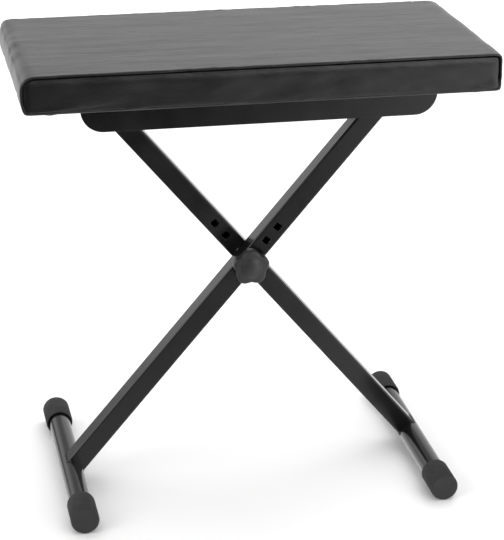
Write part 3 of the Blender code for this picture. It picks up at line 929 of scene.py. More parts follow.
def sew(piece, cushion, seat):
    """Pulls the seams in, with the folded allowance as a lip beside them, and creases the cover."""
    mesh = piece.data
    at, out = positions(mesh), vertex_normals(mesh)
    gap, pull = layer(mesh, "seam_gap"), layer(mesh, "seam_pull")
    low, high = np.array(cushion.low), np.array(cushion.high)
    puckers = grain_noise(at, (0.010, 0.010, 0.010), 1)
    groove = -seat.seam_depth * hill(gap, 1.0 * MM) * (1 + 0.25 * puckers)
    lip = 0.30 * MM * hill(gap - 2.4 * MM, 0.9 * MM)
    x, y = np.abs(at[:, 0]), np.abs(at[:, 1])
    top = smooth_step(high[2] - 8 * MM, high[2] - 2 * MM, at[:, 2])
    upright = smooth_step(high[1] - 6 * MM, high[1] - 1 * MM, y)
    ends = smooth_step(high[0] - 14 * MM, high[0] - 4 * MM, x)
    gathered = np.exp(-np.abs(gap) / (9 * MM)) * pull
    shape = (groove + lip) * pull
    # Height in millimetres, size of the hills along X, Y and Z, seed, and how much of it each point has.
    for height, size, seed, share in (
        (0.20, (0.007, 0.014, 0.007), 2, gathered),  # gathers along the seams
        (0.22, (0.120, 0.018, 0.050), 3, top),  # drag lines where the wrap is pulled over the foam
        (0.09, (0.050, 0.007, 0.050), 6, top),
        (0.35, (0.070, 0.045, 0.030), 4, 1),  # slack all over
        (0.30, (0.034, 0.050, 0.013), 7, upright),  # slack in the panels
        (0.90, (0.050, 0.028, 0.020), 5, ends),  # dimples at both ends
    ):
        shape = shape + height * MM * share * grain_noise(at, size, seed)
    under = at[:, 2] < low[2] + LEVEL
    at = at + out * np.where(under, 0, shape)[:, None]
    # Under the seat the ends of the wrap are folded over the panels, so each corner is pleated.
    x, y = np.abs(at[:, 0]), np.abs(at[:, 1])
    far, near = PLEATED
    corner = smooth_step(high[0] - far, high[0] - near, x) * smooth_step(high[1] - far, high[1] - near, y)
    spread = np.arctan2(high[1] - PLEAT_MIDDLE - y, high[0] - PLEAT_MIDDLE - x)
    pleats = np.maximum(np.sin(spread * PLEATS), 0) ** 2 * np.where(at[:, 0] < 0, 1, RIGHT_PLEATS)
    at[:, 2] -= np.where(under, PLEAT_DEPTH * corner * pleats, 0)
    # The wrap's folded edge hangs a little below the board, all round.
    from_edge = np.minimum(high[0] - x, high[1] - y)
    hangs = smooth_step(-16 * MM, -3 * MM, -from_edge) * smooth_step(-6 * MM, 0, low[2] - at[:, 2])
    at[:, 2] -= EDGE_HANGS * hangs
    place_points(mesh, at)


class BENCH_OT_seat_cover(bpy.types.Operator):
    """Sew the vinyl cover, stuff it and staple it under the seat"""

    bl_idname = "bench.seat_cover"
    bl_label = "Seat Cover"

    TURNED_IN = 0.040  # how far the cover reaches in under the board

    def execute(self, context):
        seat = context.scene.bench_seat
        cushion = Cushion(seat)
        bm = cushion.build()
        reach = cushion.high - Vector((self.TURNED_IN, self.TURNED_IN, 0))
        hidden = [
            face for face in bm.faces
            if (centre := face.calc_center_median()).z < cushion.low.z + 0.5 * MM
            and abs(centre.x) < reach.x and abs(centre.y) < reach.y
        ]
        bmesh.ops.delete(bm, geom=hidden, context="FACES")
        vinyl = shared("vinyl", upholstery_vinyl, seat.vinyl)
        cover = finished("vinyl_cover", bm, vinyl, sharp=180)
        stuff(cover, cushion, seat)
        put(cover.modifiers.new("Finer", "SUBSURF"), levels=1, render_levels=1)
        bake(cover)
        sew(cover, cushion, seat)
        put(cover.modifiers.new("Vinyl", "SOLIDIFY"), thickness=seat.vinyl_thickness, offset=-1)
        bake(cover)
        cover.data.shade_smooth()
        settle(cover, "seat", "vinyl", "seat_cover")
        return {"FINISHED"}


class BENCH_OT_staples(bpy.types.Operator):
    """Staple the cover's turned edge to the board"""

    bl_idname = "bench.staples"
    bl_label = "Staples"

    INSET = 0.028
    CROWN, WIRE = 0.0055, 0.0006  # half the length of a staple, and its wire

    def execute(self, context):
        low, high, _ = node_box("seat_cover")
        x, y = high.x - self.INSET, high.y - self.INSET
        corners = [Vector((px, py, low.z)) for px, py in ((-x, -y), (x, -y), (x, y), (-x, y))]
        path = []
        for start, end in zip(corners, corners[1:] + corners[:1]):
            path += [start.lerp(end, i / 8) for i in range(8)]
        crown, wire = self.CROWN, self.WIRE
        bend = [(-crown, -1.5 * wire), (-crown, 0.3 * wire), (-crown + wire, wire)]
        bend += [(-px, pz) for px, pz in reversed(bend)]
        section = [(0.9 * wire * a, 0.5 * wire * b) for a, b in ((-1, -1), (1, -1), (1, 1), (-1, 1))]
        bm = bmesh.new()
        loft(bm, [[Vector((px, a, pz + b)) for a, b in section] for px, pz in bend], caps=True)
        small = finished("staple", bm, zinc())
        down = [Vector((0, 0, -1))] * len(path)
        spacing = context.scene.bench_seat.staple_spacing
        staples = set_out(
            "staples", [(path, down, True)], small, zinc(), spacing, turn_by=0.12, seed=4,
        )
        settle(staples, "seat", "zinc_steel")
        return {"FINISHED"}


class BENCH_OT_seat_inside(bpy.types.Operator):
    """Cut the foam and finish the board and its T-nuts"""

    bl_idname = "bench.seat_inside"
    bl_label = "Foam, Board and T-nuts"

    SQUEEZE = 0.0045  # how far the cover presses the foam in
    FOAM_EDGE = 0.006
    BOARD_MARGIN = 0.0030  # room for the folded cover round the board
    BARREL_HOLE = 0.0045  # radius of the hole for a T-nut's barrel

    def execute(self, context):
        settle(self.foam(), "seat", "foam", "seat_foam")
        board = self.board(shared("plywood", birch_plywood))
        settle(board, "seat", "plywood", "seat_board")
        for i in range(1, 5):
            finish_node(f"t_nut_{i}", zinc())
        return {"FINISHED"}

    def foam(self):
        low, high, _ = node_box("seat_foam")
        squeeze, edge = self.SQUEEZE, self.FOAM_EDGE
        rows = [
            (low.y + squeeze + edge * (1 - math.cos(t)), edge * (1 - math.sin(t))) for t in quarter(5)
        ]
        rows += [(-y, inset) for y, inset in reversed(rows)]
        loops = []
        for y, inset in rows:
            sides = (
                low.x + squeeze + inset, high.x - squeeze - inset, low.z + inset / 4,
                high.z - squeeze - inset,
            )
            points = rounded_loop(sides, (edge + inset / 2, edge + inset / 2, 0.001), (48, 6))
            loops.append([Vector((x, y, z)) for x, z in points])
        bm = bmesh.new()
        loft(bm, loops, caps=True)
        foam = finished("foam_block", bm, shared("foam", seat_foam_finish))
        return foam

    def board(self, plywood):
        """Sawn board, its arrises broken, with the margin that the folded cover takes up round it."""
        low, high, middle = node_box("seat_board")
        size = high - low - 2 * Vector((self.BOARD_MARGIN, self.BOARD_MARGIN, 0))
        bm = bmesh.new()
        bmesh.ops.create_cube(bm, size=1)
        bmesh.ops.scale(bm, vec=size, verts=bm.verts)
        for axis, count in ((0, 12), (1, 6)):
            for i in range(1, count):
                at, way = [0, 0, 0], [0, 0, 0]
                at[axis] = size[axis] * (i / count - 0.5)
                way[axis] = 1
                geom = bm.verts[:] + bm.edges[:] + bm.faces[:]
                bmesh.ops.bisect_plane(bm, geom=geom, plane_co=at, plane_no=way)
        board = finished("plywood_board", bm, plywood, Matrix.Translation(middle))
        past = 0.01
        for screw in range(1, 5):
            _, top, nut = node_box(f"t_nut_{screw}")
            ledge, flange = top.z - 1.3 * MM, top.x - nut.x + 0.1 * MM
            rows = [(low.z - past, 0), (low.z - past, self.BARREL_HOLE), (ledge, self.BARREL_HOLE)]
            rows += [(ledge, flange), (high.z + past, flange), (high.z + past, 0)]
            at = Matrix.Translation((nut.x, nut.y, 0))
            cut(board, turned_piece("drill", rows, 32, plywood, at))
        return bevelled(board, 0.6 * MM, 2, 60)


def finish_node(node, material):
    """Gives a CAD node its finish."""
    materials = frame["nodes"][node].data.materials
    materials.clear()
    materials.append(material)


# Tray, brackets and pivots

M8_SHANK = 0.004
M8_FLATS = 0.013  # across the flats of a head or a nut
M8_NUT_BORE = 0.0042
M8_WASHER_BORE = 0.0043


class BENCH_OT_tray(bpy.types.Operator):
    """Press the steel tray that carries the seat"""

    bl_idname = "bench.tray"
    bl_label = "Tray"

    COLUMNS = 40

    def execute(self, context):
        steel = context.scene.bench_steel
        low, high, _ = node_box("seat_tray")
        bend, corner = 2 * steel.sheet, steel.tray_corner
        # Each row's y and z, and how far its ends are cut back, from the front flange's lower edge.
        section = []
        for turned in quarter(12):
            z = low.z + corner * (1 - math.cos(turned))
            section.append((low.y, z, corner * (1 - math.sin(turned))))
        for turned in quarter(6):
            y = low.y + bend * (1 - math.cos(turned))
            section.append((y, high.z - bend * (1 - math.sin(turned)), 0.0))
        section += [(low.y * (1 - i / 8) * 0.95, high.z, 0.0) for i in range(1, 9)]
        section += [(-y, z, back) for y, z, back in reversed(section[:-1])]
        spread = [2 * j / self.COLUMNS - 1 for j in range(self.COLUMNS + 1)]
        bm = bmesh.new()
        grid = [[bm.verts.new(((high.x - back) * s, y, z)) for s in spread] for y, z, back in section]
        for near, far in zip(grid, grid[1:]):
            for j in range(self.COLUMNS):
                bm.faces.new((near[j], near[j + 1], far[j + 1], far[j]))
        mesh = bpy.data.meshes.new("pressed_tray")
        bm.to_mesh(mesh)
        bm.free()
        tray = linked("pressed_tray", mesh)
        mesh.materials.append(black_steel())
        put(
            tray.modifiers.new("Sheet", "SOLIDIFY"), thickness=steel.sheet, offset=-1,
            use_even_offset=True,
        )
        settle(bevelled(tray, 0.6 * MM, 3, 60), "seat", "black_steel", "seat_tray")
        return {"FINISHED"}


def button_screw(node, material):
    """Socket button-head screw, head down."""
    low, high, middle = node_box(node)
    head, shank, thick, edge = (high.x - low.x) / 2, 0.003, 0.0035, 0.35 * MM
    socket = polygon(6, 0.004, 1)
    point = low.z - high.z + thick
    rows = [(point, 0), (point, 0.8 * shank), (point + 0.5 * MM, shank), (0, shank)]
    rows += [(0, head - 0.3 * MM), *arc(edge, head - edge, edge, -60, 20, 4)]
    rows += [
        (edge + (thick - edge) * math.sin(t), 0.0030 + (head - 0.0032) * math.cos(t))
        for t in [math.radians(20 + 70 * i / 6) for i in range(7)]
    ]
    rows += [(thick, polygon(6, 0.0043, 1)), (thick - 0.2 * MM, socket), (thick - 2 * MM, socket)]
    rows += [(thick - 2.3 * MM, 0)]
    at = Vector((middle.x, middle.y, low.z + thick))
    return turned_piece(f"{node}_button_head", rows, 48, material, facing(at, (0, 0, -1), (1, 0, 0)))


def hex_rows(flats, start, height):
    """Rows of a hexagon's sides, with its ends cut back by a cone."""
    tip = flats / 2 / math.cos(math.pi / 6)
    drop, steps = 0.0012, 4
    cone = [
        (0.6 * drop * i / steps, polygon(6, flats, tip - drop * (1 - i / steps)))
        for i in range(steps + 1)
    ]
    return [(start + up, reach) for up, reach in cone] + [
        (start + height - up, reach) for up, reach in reversed(cone)
    ]


def thread_rows(start, end, radius, pitch):
    """Rows of a screw thread: at each height the ridge has turned a little further."""
    depth = 0.55 * pitch

    def ridge(height):
        fade = max(min((height - start) / pitch, (end - height) / pitch, 1), 0)

        def reach(angle):
            phase = (height / pitch - angle / (2 * math.pi)) % 1
            return radius - depth * abs(2 * phase - 1) * fade - 0.1 * MM * (1 - fade)

        return reach

    count = max(2, round((end - start) / pitch * 6))
    heights = [start + (end - start) * i / count for i in range(count + 1)]
    return [(height, ridge(height)) for height in heights]


class BENCH_OT_pivots(bpy.types.Operator):
    """Finish the tray's screws, the brackets and the bolts that the legs swing on"""

    bl_idname = "bench.pivots"
    bl_label = "Brackets and Pivots"

    def execute(self, context):
        fittings = context.scene.bench_fittings
        for i in range(1, 5):
            node = f"tray_screw_{i}"
            settle(button_screw(node, zinc()), "seat", "zinc_steel", node)
        for side, head_way in (("left", -1), ("right", 1)):
            node = f"pivot_bracket_{side}"
            bracket = softened_copy(node, f"welded_bracket_{side}", black_steel())
            settle(bracket, "seat", "black_steel", node)
            self.bolt(side, head_way, fittings.thread_pitch)
            self.nut(side)
            for end in ("front", "rear"):
                node = f"pivot_washer_{side}_{end}"
                washer = ring(node, f"nylon_washer_{side}_{end}", M8_NUT_BORE, white_nylon())
                settle(washer, "seat", "nylon", node)
        return {"FINISHED"}

    def bolt(self, side, head_way, pitch):
        node = f"pivot_bolt_{side}"
        low, high, _ = node_box(node)
        length, head, threaded = high.y - low.y, 0.0053, 0.014
        shank, face = M8_SHANK, M8_FLATS / 2
        rows = [(0, 0), (0, shank - 0.7 * MM), (0.5 * MM, shank - 0.1 * MM)]
        rows += thread_rows(0.5 * MM, threaded, shank, pitch)
        rows += [(threaded + 0.1 * MM, shank), (length - head, shank), (length - head, face - 0.2 * MM)]
        rows += hex_rows(M8_FLATS, length - head, head)
        rows += [(length, face - 0.6 * MM), (length - 0.2 * MM, face - 1.6 * MM), (length - 0.2 * MM, 0)]
        piece = turned_piece(f"hex_bolt_{side}", rows, 48, zinc(), end_of(node, head_way))
        settle(piece, "seat", "zinc_steel", node)

    def nut(self, side):
        node = f"pivot_nut_{side}"
        low, high, _ = node_box(node)
        height, bore, edge = high.y - low.y, M8_NUT_BORE, 0.4 * MM
        rows = [(edge, bore), (0, bore + edge), *hex_rows(M8_FLATS, 0, height)]
        rows += [(height, bore + edge), (height - edge, bore)]
        piece = turned_piece(f"hex_nut_{side}", rows, 48, zinc(), end_of(node), cyclic=True)
        settle(piece, "seat", "zinc_steel", node)


def ring(node, name, bore, material, knurl=0.0):
    """A washer or a sleeve about Y, as large as its CAD node, with broken edges."""
    low, high, _ = node_box(node)
    outer, thick = (high.x - low.x) / 2, high.y - low.y
    edge = min(0.3 * MM, thick / 3)

    def rim(angle):
        return outer - knurl * abs(math.sin(20 * angle))

    side = rim if knurl else outer
    rows = [(edge, bore), (0, bore + edge), (0, outer - edge - knurl), (edge, side)]
    rows += [(thick - edge, side), (thick, outer - edge - knurl), (thick, bore + edge)]
    rows += [(thick - edge, bore)]
    return turned_piece(name, rows, 120 if knurl else 64, material, end_of(node), cyclic=True)


# Legs and feet


def tube_outline(face, side, corner):
    """Outline of a box tube, centred, with a point just inside each end of its flats."""
    points = []
    ease = 0.6 * MM
    for sx, sy, start in ((1, 1, 0), (-1, 1, 90), (-1, -1, 180), (1, -1, 270)):
        cx, cy = sx * (face / 2 - corner), sy * (side / 2 - corner)
        first, last = math.radians(start), math.radians(start + 90)
        bend = [
            (cx + corner * math.cos(first + t), cy + corner * math.sin(first + t)) for t in quarter(6)
        ]
        before = (bend[0][0] + ease * math.sin(first), bend[0][1] - ease * math.cos(first))
        after = (bend[-1][0] - ease * math.sin(last), bend[-1][1] + ease * math.cos(last))
        points += [before, *bend, after]
    return points


LEGS = {
    "front": {"pivot": "front_leg_fold", "foot": "foot_tube_left"},
    "rear": {"pivot": "rear_leg_fold", "foot": "foot_tube_right"},
}


def leg_line(which):
    """Pivot, way down and length of a leg, to the middle of its foot tube."""
    _, _, middle = node_box(f"leg_{which}")
    _, _, foot = node_box(LEGS[which]["foot"])
    pivot = JOINT_AT[LEGS[which]["pivot"]].copy()
    pivot.y = foot.y = middle.y
    return pivot, (foot - pivot).normalized(), (foot - pivot).length


def coped(length, radius, offset):
    """How far down the leg its wall meets the foot tube, this far off the leg's middle."""
    return length - math.sqrt(max(radius**2 - offset**2, 0))


def radius_of(node):
    """Radius of a round CAD node that lies along Y."""
    low, high, _ = node_box(node)
    return (high.z - low.z) / 2


class BENCH_OT_legs(bpy.types.Operator):
    """Saw, punch and cope the two box-tube legs"""

    bl_idname = "bench.legs"
    bl_label = "Legs"

    HOLES = (0.290583, 0.253992, 0.231193)  # below the pivot, for the high, middle and low seat
    TOP = -0.010  # the sawn end, above the pivot
    PIVOT_HOLE = 0.0042

    def execute(self, context):
        for which in LEGS:
            self.leg(which, context.scene.bench_steel)
        return {"FINISHED"}

    def leg(self, which, steel):
        low, high, _ = node_box(f"leg_{which}")
        face, side, corner = steel.leg_face, high.y - low.y, steel.leg_corner
        pivot, down, length = leg_line(which)
        tube = radius_of(LEGS[which]["foot"]) + 0.1 * MM
        wall, edge = steel.tube_wall, 0.3 * MM
        outer = tube_outline(face, side, corner)
        inner = tube_outline(face - 2 * wall, side - 2 * wall, max(corner - wall, 0.4 * MM))
        eased = tube_outline(face - 2 * edge, side - 2 * edge, corner - edge)
        loops = [
            [Vector((x, y, self.TOP)) for x, y in eased],
            [Vector((x, y, self.TOP + edge)) for x, y in outer],
            [Vector((x, y, coped(length, tube, x))) for x, y in outer],
            [Vector((x, y, coped(length, tube, x))) for x, y in inner],
            [Vector((x, y, self.TOP)) for x, y in inner],
        ]
        bm = bmesh.new()
        loft(bm, loops, cyclic=True)
        place = facing(pivot, down, (1, 0, 0))
        leg = finished(f"box_tube_leg_{which}", bm, black_steel(), place)
        half = steel.square_hole / 2
        loop = [Vector((a * half, b * half, 0)) for a, b in ((1, 1), (-1, 1), (-1, -1), (1, -1))]
        for distance in self.HOLES:
            punch = bmesh.new()
            loft(punch, [[p + Vector((0, 0, h)) for p in loop] for h in (-side, side)], caps=True)
            at = pivot + down * distance
            cut(leg, finished("punch", punch, black_steel(), facing(at, BACK, down)))
        rows = [(-side, 0), (-side, self.PIVOT_HOLE), (side, self.PIVOT_HOLE), (side, 0)]
        cut(leg, turned_piece("drill", rows, 32, black_steel(), facing(pivot, BACK, down)))
        self.break_hole_edges(leg, low.y, high.y)
        settle(leg, f"{which}_leg", "black_steel", f"leg_{which}")

    def break_hole_edges(self, leg, front, rear):
        """Rounds the punched edges of the holes where they meet the outer faces."""
        bm = bmesh.new()
        bm.from_mesh(leg.data)
        edges = []
        for edge in bm.edges:
            ys = [vert.co.y for vert in edge.verts]
            on_face = all(min(abs(y - front), abs(y - rear)) < 0.02 * MM for y in ys)
            if on_face and len(edge.link_faces) == 2 and edge.calc_face_angle(0) > 1.0:
                edges.append(edge)
        bmesh.ops.bevel(
            bm, geom=edges, offset=0.6 * MM, segments=3, affect="EDGES", profile=0.5,
            clamp_overlap=True,
        )
        bm.to_mesh(leg.data)
        bm.free()
        level_faces(leg)



class BENCH_OT_welds(bpy.types.Operator):
    """Weld the legs to the foot tubes and the brackets to the tray"""

    bl_idname = "bench.welds"
    bl_label = "Weld Beads"

    def execute(self, context):
        steel = context.scene.bench_steel
        for which in LEGS:
            low, high, _ = node_box(f"leg_{which}")
            pivot, down, length = leg_line(which)
            _, _, foot = node_box(LEGS[which]["foot"])
            tube = radius_of(LEGS[which]["foot"])
            place = facing(pivot, down, (1, 0, 0))
            path, ways = [], []
            for x, y in tube_outline(steel.leg_face, high.y - low.y, steel.leg_corner):
                at = place @ Vector((x, y, coped(length, tube, x)))
                from_tube = Vector((at.x - foot.x, 0, at.z - foot.z)).normalized()
                beside = (place.to_3x3() @ Vector((x, y, 0))).normalized()
                path.append(at)
                ways.append((from_tube + beside).normalized())
            bead = set_out(
                f"weld_bead_{which}", [(path, ways, True)], weld_ripple(steel.weld), black_steel(),
                0.75 * steel.weld, turn_by=0.25, smallest=0.82, seed=11,
            )
            settle(bead, f"{which}_leg", "black_steel")
        paths = []
        for side in ("left", "right"):
            low, high, _ = node_box(f"pivot_bracket_{side}")
            for y, way in ((low.y, -1), (high.y, 1)):
                ends = (Vector((low.x + 4 * MM, y, high.z)), Vector((high.x - 4 * MM, y, high.z)))
                line = [ends[0].lerp(ends[1], i / 6) for i in range(7)]
                paths.append((line, [Vector((0, way, -0.6)).normalized()] * 7, False))
        bead = set_out(
            "weld_beads_brackets", paths, weld_ripple(0.8 * steel.weld), black_steel(),
            0.6 * steel.weld, turn_by=0.25, smallest=0.8, seed=12,
        )
        settle(bead, "seat", "black_steel")
        return {"FINISHED"}


class BENCH_OT_feet(bpy.types.Operator):
    """Make the foot tubes and their ribbed rubber caps"""

    bl_idname = "bench.feet"
    bl_label = "Foot Tubes and Caps"

    def execute(self, context):
        steel, fittings = context.scene.bench_steel, context.scene.bench_fittings
        rubber = shared(
            "foot_rubber", moulded, "Moulded EPDM rubber", fittings.rubber, 0.62, 0.78, 0.45, 0.05
        )
        for side, body in (("left", "front_leg"), ("right", "rear_leg")):
            self.tube(side, body, steel)
            for end, way in (("front", -1), ("rear", 1)):
                self.cap(side, end, way, body, rubber, fittings)
        return {"FINISHED"}

    def tube(self, side, body, steel):
        node = f"foot_tube_{side}"
        low, high, _ = node_box(node)
        outer, length, edge = radius_of(node), high.y - low.y, 0.4 * MM
        bore = outer - steel.tube_wall
        rows = [(0, bore), (0, outer - edge), (edge, outer)]
        rows += [(length * i / 6, outer) for i in range(1, 6)]
        rows += [(length - edge, outer), (length, outer - edge), (length, bore)]
        place = end_of(node, across=UP)
        piece = turned_piece(f"round_foot_{side}", rows, 96, black_steel(), place, cyclic=True)
        settle(piece, body, "black_steel", node)

    def cap(self, side, end, way, body, rubber, fittings):
        node = f"foot_cap_{side}_{end}"
        low, high, _ = node_box(node)
        outer = radius_of(node) - fittings.rib_height
        bore = radius_of(f"foot_tube_{side}") + 0.25 * MM
        length, wall, edge, lip = high.y - low.y, 0.006, 1.3 * MM, 0.5 * MM
        rows = [(length - wall, 0), (length - wall, bore), (2.2 * MM, bore)]
        rows += [(0.3 * MM, bore + 1.3 * MM), (0, bore + 1.9 * MM)]
        rows += arc(lip, outer - lip, lip, -90, 0, 4)
        rows += [(length * i / 5, outer) for i in range(1, 5)]
        rows += arc(length - edge, outer - edge, edge, 0, 90, 6)
        rows += [(length - 0.25 * MM, outer - 3.2 * MM), (length - 0.25 * MM, 0)]
        place = end_of(node, way, UP)
        cap = turned_piece(f"rubber_cap_{side}_{end}", rows, 96, rubber, place, sharp=40)
        settle(cap, body, "foot_rubber", node)
        ribs = self.ribs(f"cap_ribs_{side}_{end}", place, length, outer, rubber, fittings)
        settle(ribs, body, "foot_rubber")

    def ribs(self, name, place, length, outer, rubber, fittings):
        """Ribs round the cap, each a low half-round bar that tapers at both ends."""
        start, end = 1.6 * MM, length - 0.9 * MM
        half, height = (end - start) / 2, fittings.rib_height
        wide = 0.36 * 2 * math.pi * outer / fittings.cap_ribs
        bow = [math.radians(-40 + 260 * i / 6) for i in range(7)]
        loops = [
            [Vector((wide * math.cos(a), along * half, 1.1 * share * height * math.sin(a))) for a in bow]
            for along, share in ((-1, 0.15), (-0.96, 0.9), (0.96, 0.9), (1, 0.15))
        ]
        bm = bmesh.new()
        loft(bm, loops, caps=True)
        bar = finished("cap_rib", bm, rubber)
        steps = 4 * fittings.cap_ribs
        path, ways = [], []
        for i in range(steps):
            angle = 2 * math.pi * i / steps
            way = Vector((math.cos(angle), math.sin(angle), 0))
            path.append(place @ (way * outer + Vector((0, 0, (start + end) / 2))))
            ways.append(place.to_3x3() @ way)
        around = sum((path[i] - path[i - 1]).length for i in range(steps))
        return set_out(name, [(path, ways, True)], bar, rubber, around / (fittings.cap_ribs + 0.25))


# Clamp


def on_clamp_line(y):
    return Vector((JOINT_AT["knob_turn"].x, y, JOINT_AT["knob_turn"].z))


class BENCH_OT_clamp(bpy.types.Operator):
    """Turn the clamp's bolt, washers and insert"""

    bl_idname = "bench.clamp"
    bl_label = "Clamp Bolt and Washers"

    def execute(self, context):
        _, _, middle = node_box("knob_insert")
        brass = shared("brass", turned_brass, middle)
        for node, name, bore, material, knurl, body, slot in (
            ("leg_spacer_washer", "nylon_spacer", M8_WASHER_BORE, white_nylon(), 0, "front_leg", "nylon"),
            ("clamp_washer", "flat_washer", M8_WASHER_BORE, zinc(), 0, "clamp_front", "zinc_steel"),
            ("knob_insert", "threaded_insert", M8_NUT_BORE, brass, 0.15 * MM, "knob", "brass"),
        ):
            settle(ring(node, name, bore, material, knurl), body, slot, node)
        self.bolt_head()
        self.bolt_tip(context.scene.bench_fittings.thread_pitch)
        return {"FINISHED"}

    def bolt_head(self):
        low, high, _ = node_box("clamp_bolt")
        length, head, thick, edge = high.y - low.y, (high.x - low.x) / 2, 0.005, 0.4 * MM
        neck_width, neck_corner = 0.0084, 0.0055
        neck = polygon(4, neck_width, neck_corner)
        base = length - thick
        rows = [(0, 0), (0, M8_SHANK - 0.4 * MM), (0.4 * MM, M8_SHANK), (1.3 * MM, M8_SHANK)]
        rows += [(1.6 * MM, neck)]
        rows += [(base, neck), (base, head - edge), *arc(base + edge, head - edge, edge, -90, 20, 5)]
        rows += [
            (base + 0.5 * MM + (thick - 0.5 * MM) * math.sin(t), head * math.cos(t))
            for t in [math.radians(8 + 82 * i / 9) for i in range(10)]
        ]
        _, down, _ = leg_line("rear")
        place = facing(on_clamp_line(low.y), BACK, down)
        piece = turned_piece("carriage_bolt_head", rows, 64, zinc(), place)
        settle(piece, "clamp_rear", "zinc_steel", "clamp_bolt")

    def bolt_tip(self, pitch):
        low, high, _ = node_box("clamp_bolt_tip")
        length, radius = high.y - low.y, (high.x - low.x) / 2
        root, plain, point = radius - 0.1 * MM, 0.004, 0.8 * MM
        rows = [(0, 0), (0, root), (plain, root)]
        rows += thread_rows(plain, length - point, radius, pitch)
        rows += [(length - point, root), (length, radius - 0.9 * MM), (length, 0)]
        place = facing(on_clamp_line(high.y), (0, -1, 0))
        piece = turned_piece("carriage_bolt_thread", rows, 36, zinc(), place, sharp=60)
        settle(piece, "clamp_front", "zinc_steel", "clamp_bolt_tip")


class BENCH_OT_star_knob(bpy.types.Operator):
    """Mould the star knob"""

    bl_idname = "bench.star_knob"
    bl_label = "Star Knob"

    WAIST, TIP = 0.0198, 0.024  # radius between the lobes and at their tips
    BOSS, BOSS_HEIGHT = 0.011, 0.008
    GRIP = 0.013
    HUB, DOME = 0.0130, 0.004
    ROUND_EDGE = 0.003

    def execute(self, context):
        fittings = context.scene.bench_fittings
        _, high, _ = node_box("star_knob")
        insert_low, _, _ = node_box("knob_insert")
        pocket, depth = radius_of("knob_insert") + 0.2 * MM, high.y - insert_low.y + 0.2 * MM
        base, top, edge, lip = self.BOSS_HEIGHT, self.BOSS_HEIGHT + self.GRIP, self.ROUND_EDGE, 0.5 * MM

        def star(inset):
            def radius(angle):
                wave = 0.5 + 0.5 * math.cos(fittings.lobes * angle)
                return self.WAIST + (self.TIP - self.WAIST) * wave**0.8 - inset
            return radius

        def blend(share):
            """Between the hub's foot and the grip's edge."""
            outline = star(0.0034)
            return lambda angle: (1 - share) * (self.HUB + 0.0010) + share * outline(angle)

        rows = [(depth, 0), (depth, pocket), (0, pocket), *arc(lip, self.BOSS - lip, lip, -90, 0, 3)]
        rows += [(base - 0.8 * MM, self.BOSS), (base, self.BOSS + 0.8 * MM)]
        rows += [(base + 0.7 * edge * (1 - math.cos(t)), star(edge * (1 - math.sin(t)))) for t in quarter(7)]
        rows.append((base + self.GRIP / 2, star(0.0)))
        rows += [(top - edge * (1 - math.sin(t)), star(edge * (1 - math.cos(t)))) for t in quarter(7)]
        rows += [(top + 0.25 * MM * (1 - share), blend(share)) for share in (0.92, 0.75, 0.5, 0.25, 0.08)]
        rows += [(top + 0.35 * MM, self.HUB + 0.6 * MM), (top + 0.8 * MM, self.HUB + 0.15 * MM)]
        for i in range(10):
            t = math.radians(12 + 78 * i / 9)
            rows.append((top + self.DOME * math.sin(t), self.HUB * math.cos(t)))
        plastic = shared(
            "knob_plastic", moulded, "Glass-filled nylon", fittings.plastic, 0.38, 0.50, 0.4, 0.04
        )
        place = facing(on_clamp_line(high.y), (0, -1, 0))
        knob = turned_piece("moulded_star_knob", rows, 160, plastic, place, sharp=60)
        settle(knob, "knob", "knob_plastic", "star_knob")
        return {"FINISHED"}


# Stage


